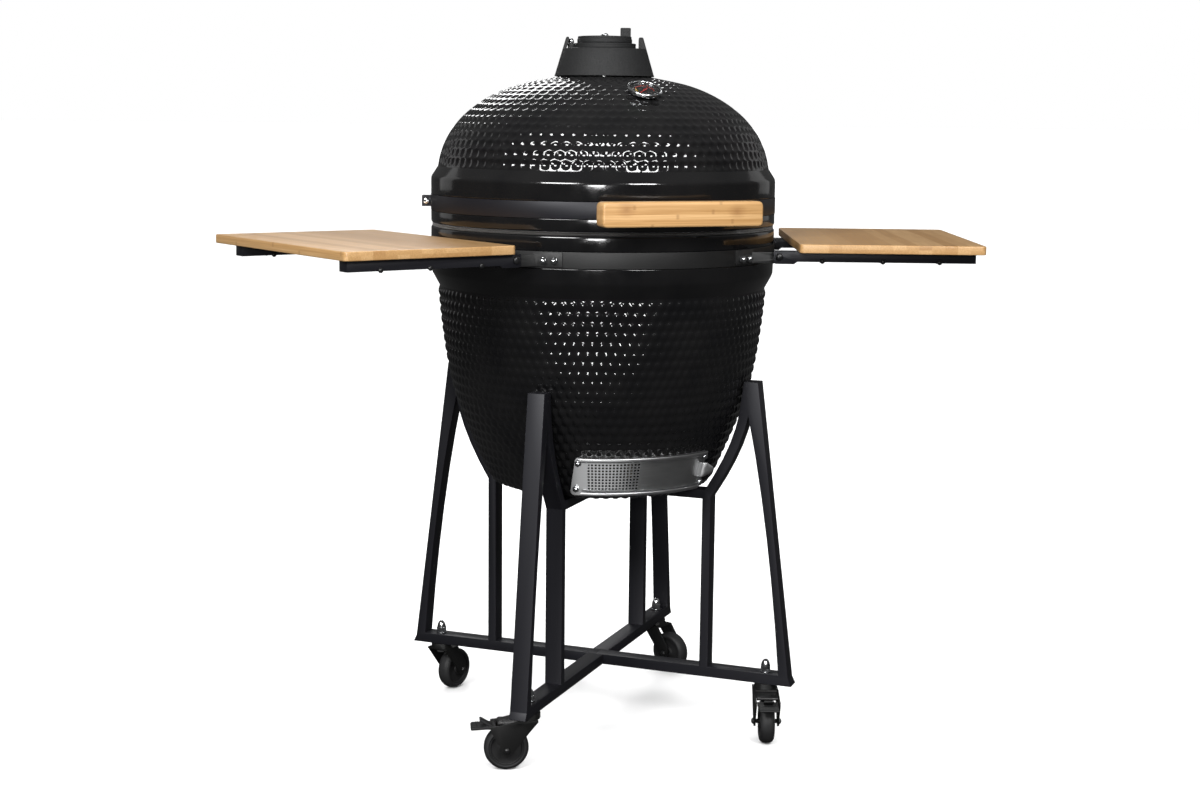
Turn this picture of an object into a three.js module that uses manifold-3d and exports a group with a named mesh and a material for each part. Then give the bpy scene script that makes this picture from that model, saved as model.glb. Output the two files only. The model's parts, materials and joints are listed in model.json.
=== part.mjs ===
// A kamado ceramic grill on a four-legged wheeled stand, with folding side shelves.
// Millimetres, +Z up. The floor is z = 0 and the grill's front faces -Y.
// Azimuths are measured about the grill's vertical axis, from the front towards +X.
import * as THREE from 'three';
import { mergeVertices } from 'three/addons/utils/BufferGeometryUtils.js';
import Module from 'manifold-3d';

const wasm = await Module();
wasm.setup();

// ---------------------------------------------------------------- driving dimensions
const AXIS_X = -8.444;           // the grill's axis, from the centre of the footprint
const AXIS_Y = 45.524;
const STAND_TURN = 2.9;          // the stand and the bowl on it stand turned by this, degrees
const GAP = 0.3;                 // clearance between pieces that touch
const SIDES = 36;                // facets round the large turned pieces

const WALL = 25;                 // ceramic wall
const RIM_R = 300;               // outer radius of the ceramic rims
const BAND_SEAT_R = 297.2;       // floor of the groove that a band sits in
const BAND_R = 301.3;            // outer face of a band
const BASE_BAND_Z = [835, 862];
const LID_BAND_Z = [915, 942];
const BASE_RIM_Z = [809, 887.5];
const LID_RIM_Z = [893.8, 972];
const FELT_R = [277, 298];       // felt seals on the two rims
const SEAM_Z = 890.6;            // where the two felts meet

// outer outline of the bowl, [radius, height], from its flat bottom to its shoulder
const BOWL_OUTLINE = [
  [140, 434.5], [171, 436], [190, 443.5], [203, 460], [231, 527], [250, 573],
  [267, 637], [279.5, 717], [286, 785],
];
const DOME = { a: 290, b: 190, z: 960, power: 2.3, start: 990, neckR: 79 };
const NECK = { r: 73.5, top: 1160, throatR: 58 };

const TUBE = { width: 30, low: 97, lowTop: 115, high: 418, highTop: 434, post: [198, 213] };
const LEG_TOP_Z = 629;
const LEG_AZIMUTHS = { front_left: -45, front_right: 45, rear_right: 135, rear_left: -135 };
const CASTER_R = 316;            // caster bolts, from the axis
const BOLT_HOLE_R = 6.6;

const WHEEL = { r: 37.5, width: 25, sides: 24, trail: 38, bore: 4.5 };
const FORK = { width: 44, cheek: 3, axleR: 4 };
// where each caster trails at rest, and whether it has a brake
const CASTERS = {
  front_left: { trailTo: -105, brake: true },
  front_right: { trailTo: -21, brake: true },
  rear_right: { trailTo: 28, brake: false },
  rear_left: { trailTo: 125.5, brake: false },
};

const SHELF = { length: 467, depth: 305, bottom: 859.5, top: 874, corner: 9, pivotR: 297, pivotZ: 850 };
const SHELVES = {
  left: { azimuth: -75.2, inner: 302.8, shift: -45, arms: { rear: -200, front: 165 } },
  right: { azimuth: 68, inner: 327, shift: 8, arms: { front: -167, rear: 167 } },
};
const ARM = { width: 25, wall: 2, bottom: 842, inset: 9 };

const DRAFT = {
  half: 34, flangeHalf: 29.5,    // half angles of the back plate and of the two tracks
  low: [212, 447], high: [233, 515],
  window: [-27.5, -3.5], door: [-4, 28.5], mesh: [-28.5, -3],
  port: { centre: -15.5, width: 78, low: 456, high: 505 },
  sides: 144,                    // fine enough for the door to slide over the mesh
};

const HINGE = { y: 340, z: 891, pinR: 6, earX: 41, lidEarX: 31, ear: 6 };
const HANDLE = { length: 275, low: 906, high: 946, front: 360, back: 328, postX: 85 };
const GAUGE = { r: 185, caseR: 29.5, height: 8, stemR: 4.5 };
const VENT = {
  base: [86.5, 1146], rimZ: 1193, lugZ: 1213, lugHalf: 10, taper: 20.5 / 69, wall: 5,
  pivotAzimuth: -111, pivotR: 58, earR: 6, discR: 54, discZ: [1193.5, 1202],
  capR: 47.5, capZ: [1202.4, 1214], petalR: 9, petalsAt: 28, tabTop: 1229,
};

// ---------------------------------------------------------------- materials
function finish(color, roughness, metalness = 0) {
  return new THREE.MeshStandardMaterial({ color, roughness, metalness });
}
const glaze = () => finish(0x101012, 0.18);
const refractory = () => finish(0xb9a98f, 0.9);
const powderCoat = () => finish(0x17181a, 0.5);
const castIron = () => finish(0x2b2c2e, 0.7, 0.3);
const bamboo = () => finish(0xc9a06a, 0.5);
const steel = () => finish(0xa9abad, 0.35, 1);
const chrome = () => finish(0xdadcde, 0.12, 1);
const felt = () => finish(0x24221f, 0.95);
const rubber = () => finish(0x1c1c1d, 0.8);

// ---------------------------------------------------------------- geometry helpers
const radians = (degrees) => THREE.MathUtils.degToRad(degrees);

// one shared vertex per corner and no collapsed triangles, so that the mesh is closed
function closed(geometry) {
  const bare = geometry.clone();
  bare.deleteAttribute('normal');
  bare.deleteAttribute('uv');
  const merged = mergeVertices(bare, 1e-3);
  const corners = Array.from(merged.index.array);
  const kept = [];
  for (let i = 0; i < corners.length; i += 3) {
    const [a, b, c] = corners.slice(i, i + 3);
    if (a !== b && b !== c && c !== a) kept.push(a, b, c);
  }
  merged.setIndex(kept);
  return merged;
}

function solidOf(geometry) {
  const merged = closed(geometry);
  const vertProperties = new Float32Array(merged.attributes.position.array);
  const triVerts = new Uint32Array(merged.index.array);
  return new wasm.Manifold(new wasm.Mesh({ numProp: 3, vertProperties, triVerts }));
}

function geometryOf(solid) {
  const mesh = solid.getMesh();
  const geometry = new THREE.BufferGeometry();
  geometry.setAttribute('position', new THREE.Float32BufferAttribute(mesh.vertProperties, 3));
  geometry.setIndex(Array.from(mesh.triVerts));
  return geometry;
}

const join = (first, ...rest) =>
  geometryOf(rest.reduce((sum, geometry) => sum.add(solidOf(geometry)), solidOf(first)));
const cut = (first, ...rest) =>
  geometryOf(rest.reduce((left, geometry) => left.subtract(solidOf(geometry)), solidOf(first)));
const common = (a, b) => geometryOf(solidOf(a).intersect(solidOf(b)));

// a closed [radius, height] outline, outer side upwards, turned about the vertical axis
function turned(outline, sides = SIDES, start = 0) {
  const onAxis = outline[0][0] === 0;
  const points = outline.map(([r, z]) => new THREE.Vector2(r, z));
  if (!onAxis) points.push(points[0].clone());
  return new THREE.LatheGeometry(points, sides, start).rotateX(Math.PI / 2);
}

const ring = (inner, outer, low, high, sides = SIDES) =>
  turned([[inner, low], [outer, low], [outer, high], [inner, high]], sides);
const disc = (r, low, high, sides = SIDES) => turned([[0, low], [r, low], [r, high], [0, high]], sides);

function box([x0, y0, z0], [x1, y1, z1]) {
  return new THREE.BoxGeometry(x1 - x0, y1 - y0, z1 - z0)
    .translate((x0 + x1) / 2, (y0 + y1) / 2, (z0 + z1) / 2);
}

function outlineShape(points) {
  return new THREE.Shape(points.map(([x, y]) => new THREE.Vector2(x, y)));
}

function roundedRectangle(width, height, corner) {
  const x = width / 2 - corner;
  const y = height / 2 - corner;
  const shape = new THREE.Shape();
  shape.absarc(x, y, corner, 0, Math.PI / 2);
  shape.absarc(-x, y, corner, Math.PI / 2, Math.PI);
  shape.absarc(-x, -y, corner, Math.PI, 1.5 * Math.PI);
  shape.absarc(x, -y, corner, 1.5 * Math.PI, 2 * Math.PI);
  return shape;
}

function extruded(shape, depth, curveSegments = 3) {
  return new THREE.ExtrudeGeometry(shape, { depth, bevelEnabled: false, curveSegments });
}

// a shape drawn in x = radius and y = height, as an upright plate with its middle on y = 0
function upright(shape, thickness, curveSegments) {
  return extruded(shape, thickness, curveSegments).translate(0, 0, -thickness / 2).rotateX(Math.PI / 2);
}

// from radius along +X and tangent along +Y to their places at an azimuth
const at = (azimuth, geometry) => geometry.rotateZ(radians(azimuth - 90));

function sector(from, to, low, high, reach = 400) {
  const middle = (from + to) / 2;
  const half = radians((to - from) / 2);
  const shape = outlineShape([[0, 0], [reach, -reach * Math.tan(half)], [reach, reach * Math.tan(half)]]);
  return at(middle, extruded(shape, high - low).translate(0, 0, low));
}

// a rod along +Y, with its middle on y = 0
const crossRod = (r, length, sides = 10) => new THREE.CylinderGeometry(r, r, length, sides);

const model = new THREE.Group();
const grill = new THREE.Group();
grill.position.set(AXIS_X, AXIS_Y, 0);
model.add(grill);

function piece(name, material, geometry) {
  const mesh = new THREE.Mesh(closed(geometry), material);
  mesh.name = name;
  grill.add(mesh);
}

// ---------------------------------------------------------------- stand
// the curved member under the bowl, its outer edge, and the same edge moved in by its thickness
function underBowlMember() {
  const bend = new THREE.QuadraticBezierCurve(
    new THREE.Vector2(TUBE.post[1], 421), new THREE.Vector2(266, 503), new THREE.Vector2(278, 570));
  const outer = bend.getPoints(5);
  const inner = outer.map((point, i) => {
    const along = bend.getTangent(i / 5);
    return new THREE.Vector2(point.x - 16.5 * along.y, point.y + 16.5 * along.x);
  });
  inner[0].set(202, TUBE.highTop);
  return { outer, inner };
}

function legOuterEdge() {
  const bend = new THREE.QuadraticBezierCurve(
    new THREE.Vector2(361, 109), new THREE.Vector2(326, 400), new THREE.Vector2(294, LEG_TOP_Z));
  return bend.getPoints(6);
}

function legInnerEdge() {
  const bend = new THREE.QuadraticBezierCurve(
    new THREE.Vector2(278, 570), new THREE.Vector2(322, 370), new THREE.Vector2(343, TUBE.lowTop));
  return bend.getPoints(6);
}

function standFrame(centre) {
  const member = underBowlMember();
  const shape = new THREE.Shape([
    new THREE.Vector2(centre, TUBE.low),
    new THREE.Vector2(367, TUBE.low),
    ...legOuterEdge(),
    new THREE.Vector2(269, LEG_TOP_Z),
    ...member.inner.reverse(),
    new THREE.Vector2(centre, TUBE.highTop),
    new THREE.Vector2(centre, TUBE.high),
    new THREE.Vector2(TUBE.post[0], TUBE.high),
    new THREE.Vector2(TUBE.post[0], TUBE.lowTop),
    new THREE.Vector2(centre, TUBE.lowTop),
  ]);
  const gap = new THREE.Shape([
    new THREE.Vector2(TUBE.post[1], TUBE.lowTop), ...member.outer, ...legInnerEdge().slice(1),
  ]);
  const boltHole = disc(BOLT_HOLE_R, TUBE.low - 5, TUBE.lowTop + 5, 10).translate(CASTER_R, 0, 0);
  return cut(upright(shape, TUBE.width), upright(gap, TUBE.width + 10), boltHole);
}

for (const [corner, azimuth] of Object.entries(LEG_AZIMUTHS)) {
  // one pair of frames meets at the axis, and the other pair butts against it
  const meets = corner === 'front_right' || corner === 'rear_left';
  const centre = meets ? GAP / 2 : TUBE.width / 2 + GAP;
  piece(`frame_${corner}`, powderCoat(), at(azimuth + STAND_TURN, standFrame(centre)));
}

// ---------------------------------------------------------------- casters
// drawn with the swivel axis on the origin's vertical and the wheel trailing along +X
function casterFork(brake) {
  const { trail } = WHEEL;
  const arm = brake ? [[trail + 26, 70], [trail + 26, 79], [trail + 14, 80]] : [[trail + 9, 52]];
  const cheek = outlineShape([
    [-13, 84], [trail - 8, 31], [trail, 28], [trail + 8, 31], [trail + 10, 42], ...arm,
    [22, 87.5], [-13, 87.5],
  ]);
  const side = (FORK.width - FORK.cheek) / 2;
  const crown = box([-14, -FORK.width / 2, 84], [22, FORK.width / 2, 87.5]);
  const race = disc(19, 87, TUBE.low - GAP, 12);
  const axle = crossRod(FORK.axleR, FORK.width - 1).translate(trail, 0, WHEEL.r);
  const parts = join(
    crown, race, axle,
    upright(cheek, FORK.cheek).translate(0, side, 0),
    upright(cheek, FORK.cheek).translate(0, -side, 0));
  return cut(parts, disc(BOLT_HOLE_R, 80, TUBE.low + 5, 10));
}

// the wheel's lowest facet lies flat on the floor
function casterWheel() {
  const half = WHEEL.width / 2;
  const tread = WHEEL.r / Math.cos(Math.PI / WHEEL.sides);
  const outline = [
    [WHEEL.bore, -half], [tread - 4, -half], [tread, 3 - half],
    [tread, half - 3], [tread - 4, half], [WHEEL.bore, half],
  ];
  return turned(outline, WHEEL.sides, Math.PI / WHEEL.sides)
    .rotateX(Math.PI / 2)
    .translate(WHEEL.trail, 0, WHEEL.r);
}

function casterBolt() {
  const nutBase = TUBE.lowTop + GAP;
  return turned([
    [0, 79], [9, 79], [9, 83.7], [6, 83.7], [6, nutBase], [9.5, nutBase], [9.5, nutBase + 14],
    [7, nutBase + 20.5], [0, nutBase + 23.5],
  ], 10);
}

function brakePedal() {
  const pivot = [WHEEL.trail + 20, 74];
  const plate = outlineShape([
    [pivot[0] - 2, 75.5], [pivot[0] + 12, 76], [pivot[0] + 37, 67], [pivot[0] + 36, 63.5],
    [pivot[0] + 11, 72], [pivot[0] - 2, 71.5],
  ]);
  const barrel = crossRod(4, 36).translate(pivot[0], 0, pivot[1]);
  return join(upright(plate, 34), barrel);
}

for (const [corner, { trailTo, brake }] of Object.entries(CASTERS)) {
  const azimuth = LEG_AZIMUTHS[corner] + STAND_TURN;
  const x = CASTER_R * Math.sin(radians(azimuth));
  const y = -CASTER_R * Math.cos(radians(azimuth));
  const set = (geometry) => at(trailTo, geometry).translate(x, y, 0);
  piece(`caster_bolt_${corner}`, chrome(), set(casterBolt()));
  piece(`caster_fork_${corner}`, powderCoat(), set(casterFork(brake)));
  piece(`caster_wheel_${corner}`, rubber(), set(casterWheel()));
  if (brake) piece(`brake_pedal_${corner}`, rubber(), set(brakePedal()));
}

// ---------------------------------------------------------------- ceramic bowl and what it holds
// a curve through an outline's points, as [radius, height] pairs
function smooth(points, steps) {
  const curve = new THREE.SplineCurve(points.map(([r, z]) => new THREE.Vector2(r, z)));
  return curve.getPoints(steps).map((point) => [point.x, point.y]);
}

// turned pieces of the bowl share the stand's turn, so that their facets stay parallel
const bowlTurn = (geometry) => geometry.rotateZ(radians(STAND_TURN));

function ceramicBase() {
  const outer = smooth(BOWL_OUTLINE, 9);
  const inner = outer.slice(3).map(([r, z]) => [r - WALL, z + 6]).reverse();
  const outline = [
    [0, 434.5], ...outer, [RIM_R - 1, BASE_RIM_Z[0]], [RIM_R, BASE_BAND_Z[0] - 0.5],
    [BAND_SEAT_R, BASE_BAND_Z[0] - 0.5], [BAND_SEAT_R, BASE_BAND_Z[1] + 0.5], [RIM_R, BASE_BAND_Z[1] + 0.5],
    [RIM_R, BASE_RIM_Z[1]], [RIM_R - WALL, BASE_RIM_Z[1]], [RIM_R - WALL, BASE_RIM_Z[0]],
    ...inner, [150, 462], [0, 462],
  ];
  const { port } = DRAFT;
  const throat = box([120, -port.width / 2, port.low], [260, port.width / 2, port.high]);
  const opening = at(port.centre - STAND_TURN, throat);
  return cut(turned(outline), opening);
}

piece('ceramic_base', glaze(), bowlTurn(ceramicBase()));
piece('base_band', powderCoat(), bowlTurn(ring(BAND_SEAT_R + 0.4, BAND_R, ...BASE_BAND_Z)));
piece('base_gasket', felt(), bowlTurn(ring(...FELT_R, BASE_RIM_Z[1] + GAP, SEAM_Z - GAP / 2)));

function fireBox() {
  const outline = [
    [128, 463], [148, 463], [176, 500], [206, 575], [219, 640],
    [201, 640], [188, 578], [178, 557], [158, 552], [128, 478],
  ];
  const { port } = DRAFT;
  const inlet = at(port.centre - STAND_TURN, box([100, -32, 455], [230, 32, 500]));
  return cut(turned(outline), inlet);
}

piece('fire_box', refractory(), bowlTurn(fireBox()));
piece('fire_ring', refractory(), bowlTurn(turned([
  [203, 640.4], [220, 640.4], [232, 700], [238, 822], [216, 822], [214, 700],
])));

// a round plate with parallel slots, which leave the bars between them and the rim
function slottedGrate(r, rim, bars, barWidth, low, thickness) {
  const pitch = (2 * (r - rim) + barWidth) / (bars + 1);
  const slots = [];
  for (let i = 0; i <= bars; i += 1) {
    const left = -(r - rim) + i * pitch;
    const right = left + pitch - barWidth;
    const reach = Math.max(Math.abs(left), Math.abs(right));
    const half = Math.sqrt(Math.max((r - rim) ** 2 - reach ** 2, 0));
    if (half > 8) slots.push(box([left, -half, low - 2], [right, half, low + thickness + 2]));
  }
  return cut(disc(r, low, low + thickness, 36), ...slots);
}

piece('charcoal_grate', castIron(), bowlTurn(slottedGrate(172, 12, 11, 13, 558, 10)));
piece('cooking_grate', steel(), bowlTurn(slottedGrate(228, 7, 15, 6, 822.5, 7)));

// ---------------------------------------------------------------- draft door
const draftSlope = (DRAFT.high[0] - DRAFT.low[0]) / (DRAFT.high[1] - DRAFT.low[1]);
const draftR = (z) => DRAFT.low[0] + draftSlope * (z - DRAFT.low[1]);
const DOOR_Z = [DRAFT.low[1] + 2.5, DRAFT.high[1] - 2.5];

// part of a cone parallel to the door's, between two offsets, two heights and two azimuths
function draftPlate([inside, outside], [low, high], [from, to], sides = SIDES) {
  const cone = turned([
    [draftR(low) + inside, low], [draftR(low) + outside, low],
    [draftR(high) + outside, high], [draftR(high) + inside, high],
  ], sides);
  return common(cone, sector(from, to, low - 5, high + 5));
}

// everything inside a cone parallel to the door's
function draftCore(offset) {
  const [low, high] = [DRAFT.low[1], DRAFT.high[1]];
  return turned([[0, low], [draftR(low) + offset, low], [draftR(high) + offset, high], [0, high]]);
}

function acornNut(azimuth, z, offset) {
  const nut = turned([[0, -2], [5.5, -2], [5.5, 3.5], [3.5, 7], [0, 8]], 8);
  return at(azimuth, nut.rotateY(Math.PI / 2).translate(draftR(z) + offset, 0, z));
}

function draftFrame() {
  const [bottom, top] = [DRAFT.low[1], DRAFT.high[1]];
  const tracks = [-DRAFT.flangeHalf, DRAFT.flangeHalf];
  const { port } = DRAFT;
  const plate = draftPlate([-4.5, -3.2], [bottom, top], [-DRAFT.half, DRAFT.half]);
  const window = sector(...DRAFT.window, port.low + 3, port.high - 3);
  const duct = at(port.centre, cut(
    box([183, 1 - port.width / 2, port.low + 1], [222, port.width / 2 - 1, port.high - 1]),
    box([170, 3 - port.width / 2, port.low + 3], [240, port.width / 2 - 3, port.high - 3])));
  return join(
    cut(plate, window),
    common(duct, draftCore(-3.4)),
    draftPlate([-4.5, 4.5], [bottom, bottom + 2], tracks),
    draftPlate([3, 4.5], [bottom, bottom + 6], tracks),
    draftPlate([-4.5, 6], [top - 2, top], tracks),
    draftPlate([4.5, 6], [top - 8, top], tracks),
    ...[-31.7, 31.7].flatMap((azimuth) => [461, 505].map((z) => acornNut(azimuth, z, -3.2))));
}

function draftDoor() {
  const [from, to] = DRAFT.door;
  const panel = draftPlate([-1.3, 0.1], DOOR_Z, [from, to], DRAFT.sides);
  const tab = extruded(outlineShape([[-9, 0], [12, 0], [24, 15], [22, 16.5], [11, 1.8], [-9, 1.8]]), 26);
  const handle = at(to - 1.2, tab.translate(draftR(483), -0.9, 470));
  return join(panel, cut(handle, draftCore(-1)));
}

piece('draft_frame', steel(), draftFrame());
piece('draft_mesh', steel(), draftPlate([-2.9, -1.6], DOOR_Z, DRAFT.mesh, DRAFT.sides));
piece('draft_door', steel(), draftDoor());

// ---------------------------------------------------------------- ceramic lid
// the dome's height at a radius: a superellipse, with the wall taken off for its inside
function domeZ(r, inset = 0) {
  const share = (r / (DOME.a - inset)) ** DOME.power;
  return DOME.z + (DOME.b - inset) * (1 - share) ** (1 / DOME.power);
}

function domeR(z) {
  return DOME.a * (1 - ((z - DOME.z) / DOME.b) ** DOME.power) ** (1 / DOME.power);
}

function ceramicLid() {
  const shoulder = domeR(DOME.start);
  const outer = [0, 4, 11, 24, 50, 90, 140].map((step) => [shoulder - step, domeZ(shoulder - step)]);
  const inner = [NECK.throatR, 120, 180, 222, 248, 260].map((r) => [r, domeZ(r, WALL)]);
  const outline = [
    [RIM_R, LID_RIM_Z[0]], [RIM_R, LID_BAND_Z[0] - 0.5], [BAND_SEAT_R, LID_BAND_Z[0] - 0.5],
    [BAND_SEAT_R, LID_BAND_Z[1] + 0.5], [RIM_R, LID_BAND_Z[1] + 0.5], [RIM_R, LID_RIM_Z[1]],
    ...outer, [DOME.neckR, domeZ(DOME.neckR)], [NECK.r, NECK.top], [NECK.throatR, NECK.top],
    ...inner, [RIM_R - WALL, DOME.start - 40], [RIM_R - WALL, LID_RIM_Z[0]],
  ];
  const stemHole = crossRod(6, 80).rotateX(Math.PI / 2);
  return cut(turned(outline), onGauge(stemHole));
}

// ---------------------------------------------------------------- thermometer
// from +Z along the dial's axis and the dial's back at the origin to the dome's front
function onGauge(geometry) {
  const z = domeZ(GAUGE.r);
  const slopeR = (GAUGE.r / DOME.a) ** (DOME.power - 1) / DOME.a;
  const slopeZ = ((z - DOME.z) / DOME.b) ** (DOME.power - 1) / DOME.b;
  const lean = Math.atan2(slopeR, slopeZ);
  return geometry.rotateX(lean).translate(0, -GAUGE.r, z);
}

piece('ceramic_lid', glaze(), ceramicLid());
piece('lid_gasket', felt(), ring(...FELT_R, SEAM_Z + GAP / 2, LID_RIM_Z[0] - GAP));

piece('thermometer_case', chrome(), onGauge(turned([
  [0, -60], [GAUGE.stemR, -60], [GAUGE.stemR, 0.6], [GAUGE.caseR - 3, 0.6], [GAUGE.caseR, 3],
  [GAUGE.caseR, GAUGE.height], [GAUGE.caseR - 2.5, GAUGE.height + 1], [GAUGE.caseR - 3.5, GAUGE.height - 1],
  [GAUGE.caseR - 3.5, 4], [0, 4],
], 20)));
piece('thermometer_lens', finish(0xffffff, 0.05),
  onGauge(disc(GAUGE.caseR - 3.9, GAUGE.height - 1.8, GAUGE.height - 0.8, 20)));
const needle = outlineShape([[-1.6, -8], [1.6, -8], [0.4, 19], [-0.4, 19]]);
const needleCap = disc(3, 4.4, 5.8, 8);
piece('thermometer_needle', finish(0xb3201c, 0.5),
  onGauge(join(extruded(needle, 0.6).translate(0, 0, 4.6), needleCap).rotateZ(radians(135))));

// ---------------------------------------------------------------- lid band and handle
const CLAMP = { azimuth: -112, out: 317, ear: 4, apart: 14, hole: 3.3 };

function lidBand() {
  const band = ring(BAND_SEAT_R + 0.4, BAND_R, ...LID_BAND_Z);
  const offset = (CLAMP.apart + CLAMP.ear) / 2;
  const ears = [-offset, offset].map((y) =>
    at(CLAMP.azimuth, box([299.5, y - CLAMP.ear / 2, 919], [CLAMP.out, y + CLAMP.ear / 2, 938])));
  const hole = at(CLAMP.azimuth, crossRod(CLAMP.hole, 60, 8).translate(309, 0, 928));
  return cut(join(band, ...ears), hole);
}

function clampBolt() {
  const shank = crossRod(3, 30, 8);
  const head = crossRod(5.2, 4, 6).translate(0, -13.4, 0);
  const nut = crossRod(5.2, 5, 6).translate(0, 13.9, 0);
  return at(CLAMP.azimuth, join(shank, head, nut).translate(309, 0, 928));
}

piece('lid_band', powderCoat(), lidBand());
piece('lid_band_bolt', chrome(), clampBolt());

const handleShape = roundedRectangle(HANDLE.length, HANDLE.high - HANDLE.low, 9);
piece('handle_bar', bamboo(), extruded(handleShape, HANDLE.front - HANDLE.back)
  .rotateX(Math.PI / 2)
  .translate(0, -HANDLE.back, (HANDLE.low + HANDLE.high) / 2));

// what a fitting that hugs a band is cut back to, with facets parallel to the band's
const lidBandClear = disc(BAND_R + GAP, 800, 960);
const baseBandClear = bowlTurn(disc(BAND_R + GAP, 800, 960));

for (const [side, x] of [['left', -HANDLE.postX], ['right', HANDLE.postX]]) {
  const post = box([x - 8, -HANDLE.back + GAP, 916], [x + 8, -270, 938]);
  const foot = box([x - 15, -300, 916], [x + 15, -270, 941]);
  piece(`handle_bracket_${side}`, steel(), cut(join(post, foot), lidBandClear));
}

// ---------------------------------------------------------------- rear hinge
// an ear drawn in x = distance behind the axis and y = height, as an upright plate
function hingeEar(points, x) {
  return at(180, upright(outlineShape(points), HINGE.ear)).translate(x, 0, 0);
}

const pinHole = crossRod(HINGE.pinR + 0.4, 160, 12).rotateZ(Math.PI / 2).translate(0, HINGE.y, HINGE.z);

function hingeBracket(plateZ, bandClear, earX, ear) {
  const plate = box([-62, 270, plateZ[0]], [62, 307, plateZ[1]]);
  const parts = join(plate, hingeEar(ear, earX), hingeEar(ear, -earX));
  return cut(parts, bandClear, pinHole);
}

piece('hinge_base_bracket', powderCoat(), hingeBracket(
  [BASE_BAND_Z[0], BASE_BAND_Z[1] + 4], baseBandClear, HINGE.earX,
  [[300, 835], [318, 835], [352, 882], [352, 898], [345, 904],
    [335, 904], [328, 898], [328, 888], [306, 866], [300, 866]]));
piece('hinge_lid_bracket', powderCoat(), hingeBracket(
  [LID_BAND_Z[0] - 4, LID_BAND_Z[1]], lidBandClear, HINGE.lidEarX,
  [[300, 911], [306, 911], [328, 890], [328, 884], [334, 879],
    [346, 879], [352, 885], [352, 897], [320, 942], [300, 942]]));

// pieces on the pin are drawn with the pin along +Z
const onPin = (geometry) => geometry.rotateY(Math.PI / 2).translate(0, HINGE.y, HINGE.z);
piece('hinge_pin', chrome(), onPin(turned([
  [0, -54], [10, -54], [10, -48], [HINGE.pinR, -48], [HINGE.pinR, 48], [10, 48], [10, 54], [0, 54],
], 12)));
for (const [side, middle] of [['left', -14], ['right', 14]]) {
  piece(`hinge_spring_${side}`, steel(), onPin(ring(7.2, 12, middle - 12, middle + 12, 12)));
}

// ---------------------------------------------------------------- top vent
const collarR = (z) => VENT.base[0] - VENT.taper * (z - VENT.base[1]);

function ventWall(low, high) {
  return turned([
    [collarR(low) - VENT.wall, low], [collarR(low), low],
    [collarR(high), high], [collarR(high) - VENT.wall, high],
  ], 32);
}

function ventCollar() {
  const seat = ring(46, collarR(VENT.rimZ) - 2, VENT.rimZ - 6, VENT.rimZ, 32);
  return join(ventWall(VENT.base[1], VENT.rimZ), seat);
}

// above the seat the wall carries on as two lugs
function ventLug(azimuth) {
  const width = box([40, -VENT.lugHalf, VENT.rimZ], [100, VENT.lugHalf, VENT.lugZ]);
  return common(ventWall(VENT.rimZ, VENT.lugZ), at(azimuth, width));
}

// the openings that line up in the slide disc and in the cap above it
function petals(low, high) {
  return [0, 72, 144, 216, 288].map((turn) =>
    at(VENT.pivotAzimuth + turn, disc(VENT.petalR, low, high, 8).translate(VENT.petalsAt, 0, 0)));
}

function slideDisc() {
  const [low, high] = VENT.discZ;
  const ear = at(VENT.pivotAzimuth, box([40, -VENT.earR, low], [VENT.pivotR, VENT.earR, high]));
  const earEnd = at(VENT.pivotAzimuth, disc(VENT.earR, low, high, 12).translate(VENT.pivotR, 0, 0));
  const pivotHole = at(VENT.pivotAzimuth, disc(4.3, low - 5, high + 5, 10).translate(VENT.pivotR, 0, 0));
  const plate = join(disc(VENT.discR, low, high, 32), ear, earEnd);
  return cut(plate, pivotHole, disc(4.3, low - 5, high + 5, 10), ...petals(low - 5, high + 5));
}

function daisyWheel() {
  const [low, high] = VENT.capZ;
  const cap = disc(VENT.capR, low, high, 32);
  const hollow = disc(VENT.capR - 4.5, low - 1, high - 5, 32);
  const tab = at(VENT.pivotAzimuth + 180, box([27, -7, high - 2], [45, -3, VENT.tabTop]));
  return cut(join(cut(cap, hollow), tab), disc(4.3, low - 5, high + 5, 10), ...petals(low - 5, high + 5));
}

piece('vent_collar', castIron(), ventCollar());
piece('vent_lug_pivot', castIron(), ventLug(VENT.pivotAzimuth));
piece('vent_lug_far', castIron(), ventLug(VENT.pivotAzimuth + 180));
piece('vent_slide_disc', castIron(), slideDisc());
piece('daisy_wheel', castIron(), daisyWheel());
piece('vent_pivot_bolt', chrome(), at(VENT.pivotAzimuth, turned([
  [0, VENT.rimZ], [4, VENT.rimZ], [4, 1202.3], [5.5, 1202.3], [5.5, 1206.5], [3.5, 1210], [0, 1211],
], 10).translate(VENT.pivotR, 0, 0)));
piece('daisy_nut', chrome(), turned([
  [0, 1194], [4, 1194], [4, 1214.3], [8, 1214.3], [8, 1217], [4, 1219.5], [0, 1220],
], 10));

// ---------------------------------------------------------------- folding side shelves
// drawn with the shelf's outward direction along +X and its length along +Y
function shelfBoard({ inner, shift }) {
  const shape = roundedRectangle(SHELF.depth, SHELF.length, SHELF.corner);
  return extruded(shape, SHELF.top - SHELF.bottom)
    .translate(inner + SHELF.depth / 2, shift, SHELF.bottom);
}

// a channel open downwards, deeper round its pivot pin
function shelfArm(y, outer) {
  const top = SHELF.bottom - GAP;
  const knuckle = outlineShape([[288, top], [288, 842], [291, 838], [322, 838], [327, 842], [327, top]]);
  const web = ARM.width / 2;
  const body = join(
    box([288, -web, ARM.bottom], [outer, web, top]),
    upright(knuckle, ARM.width));
  const hollow = box([280, ARM.wall - web, 830], [outer - ARM.wall, web - ARM.wall, top - ARM.wall]);
  const pin = crossRod(3.5, ARM.width + 5, 8).translate(SHELF.pivotR, 0, SHELF.pivotZ);
  return join(cut(body, hollow), pin).translate(0, y, 0);
}

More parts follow.
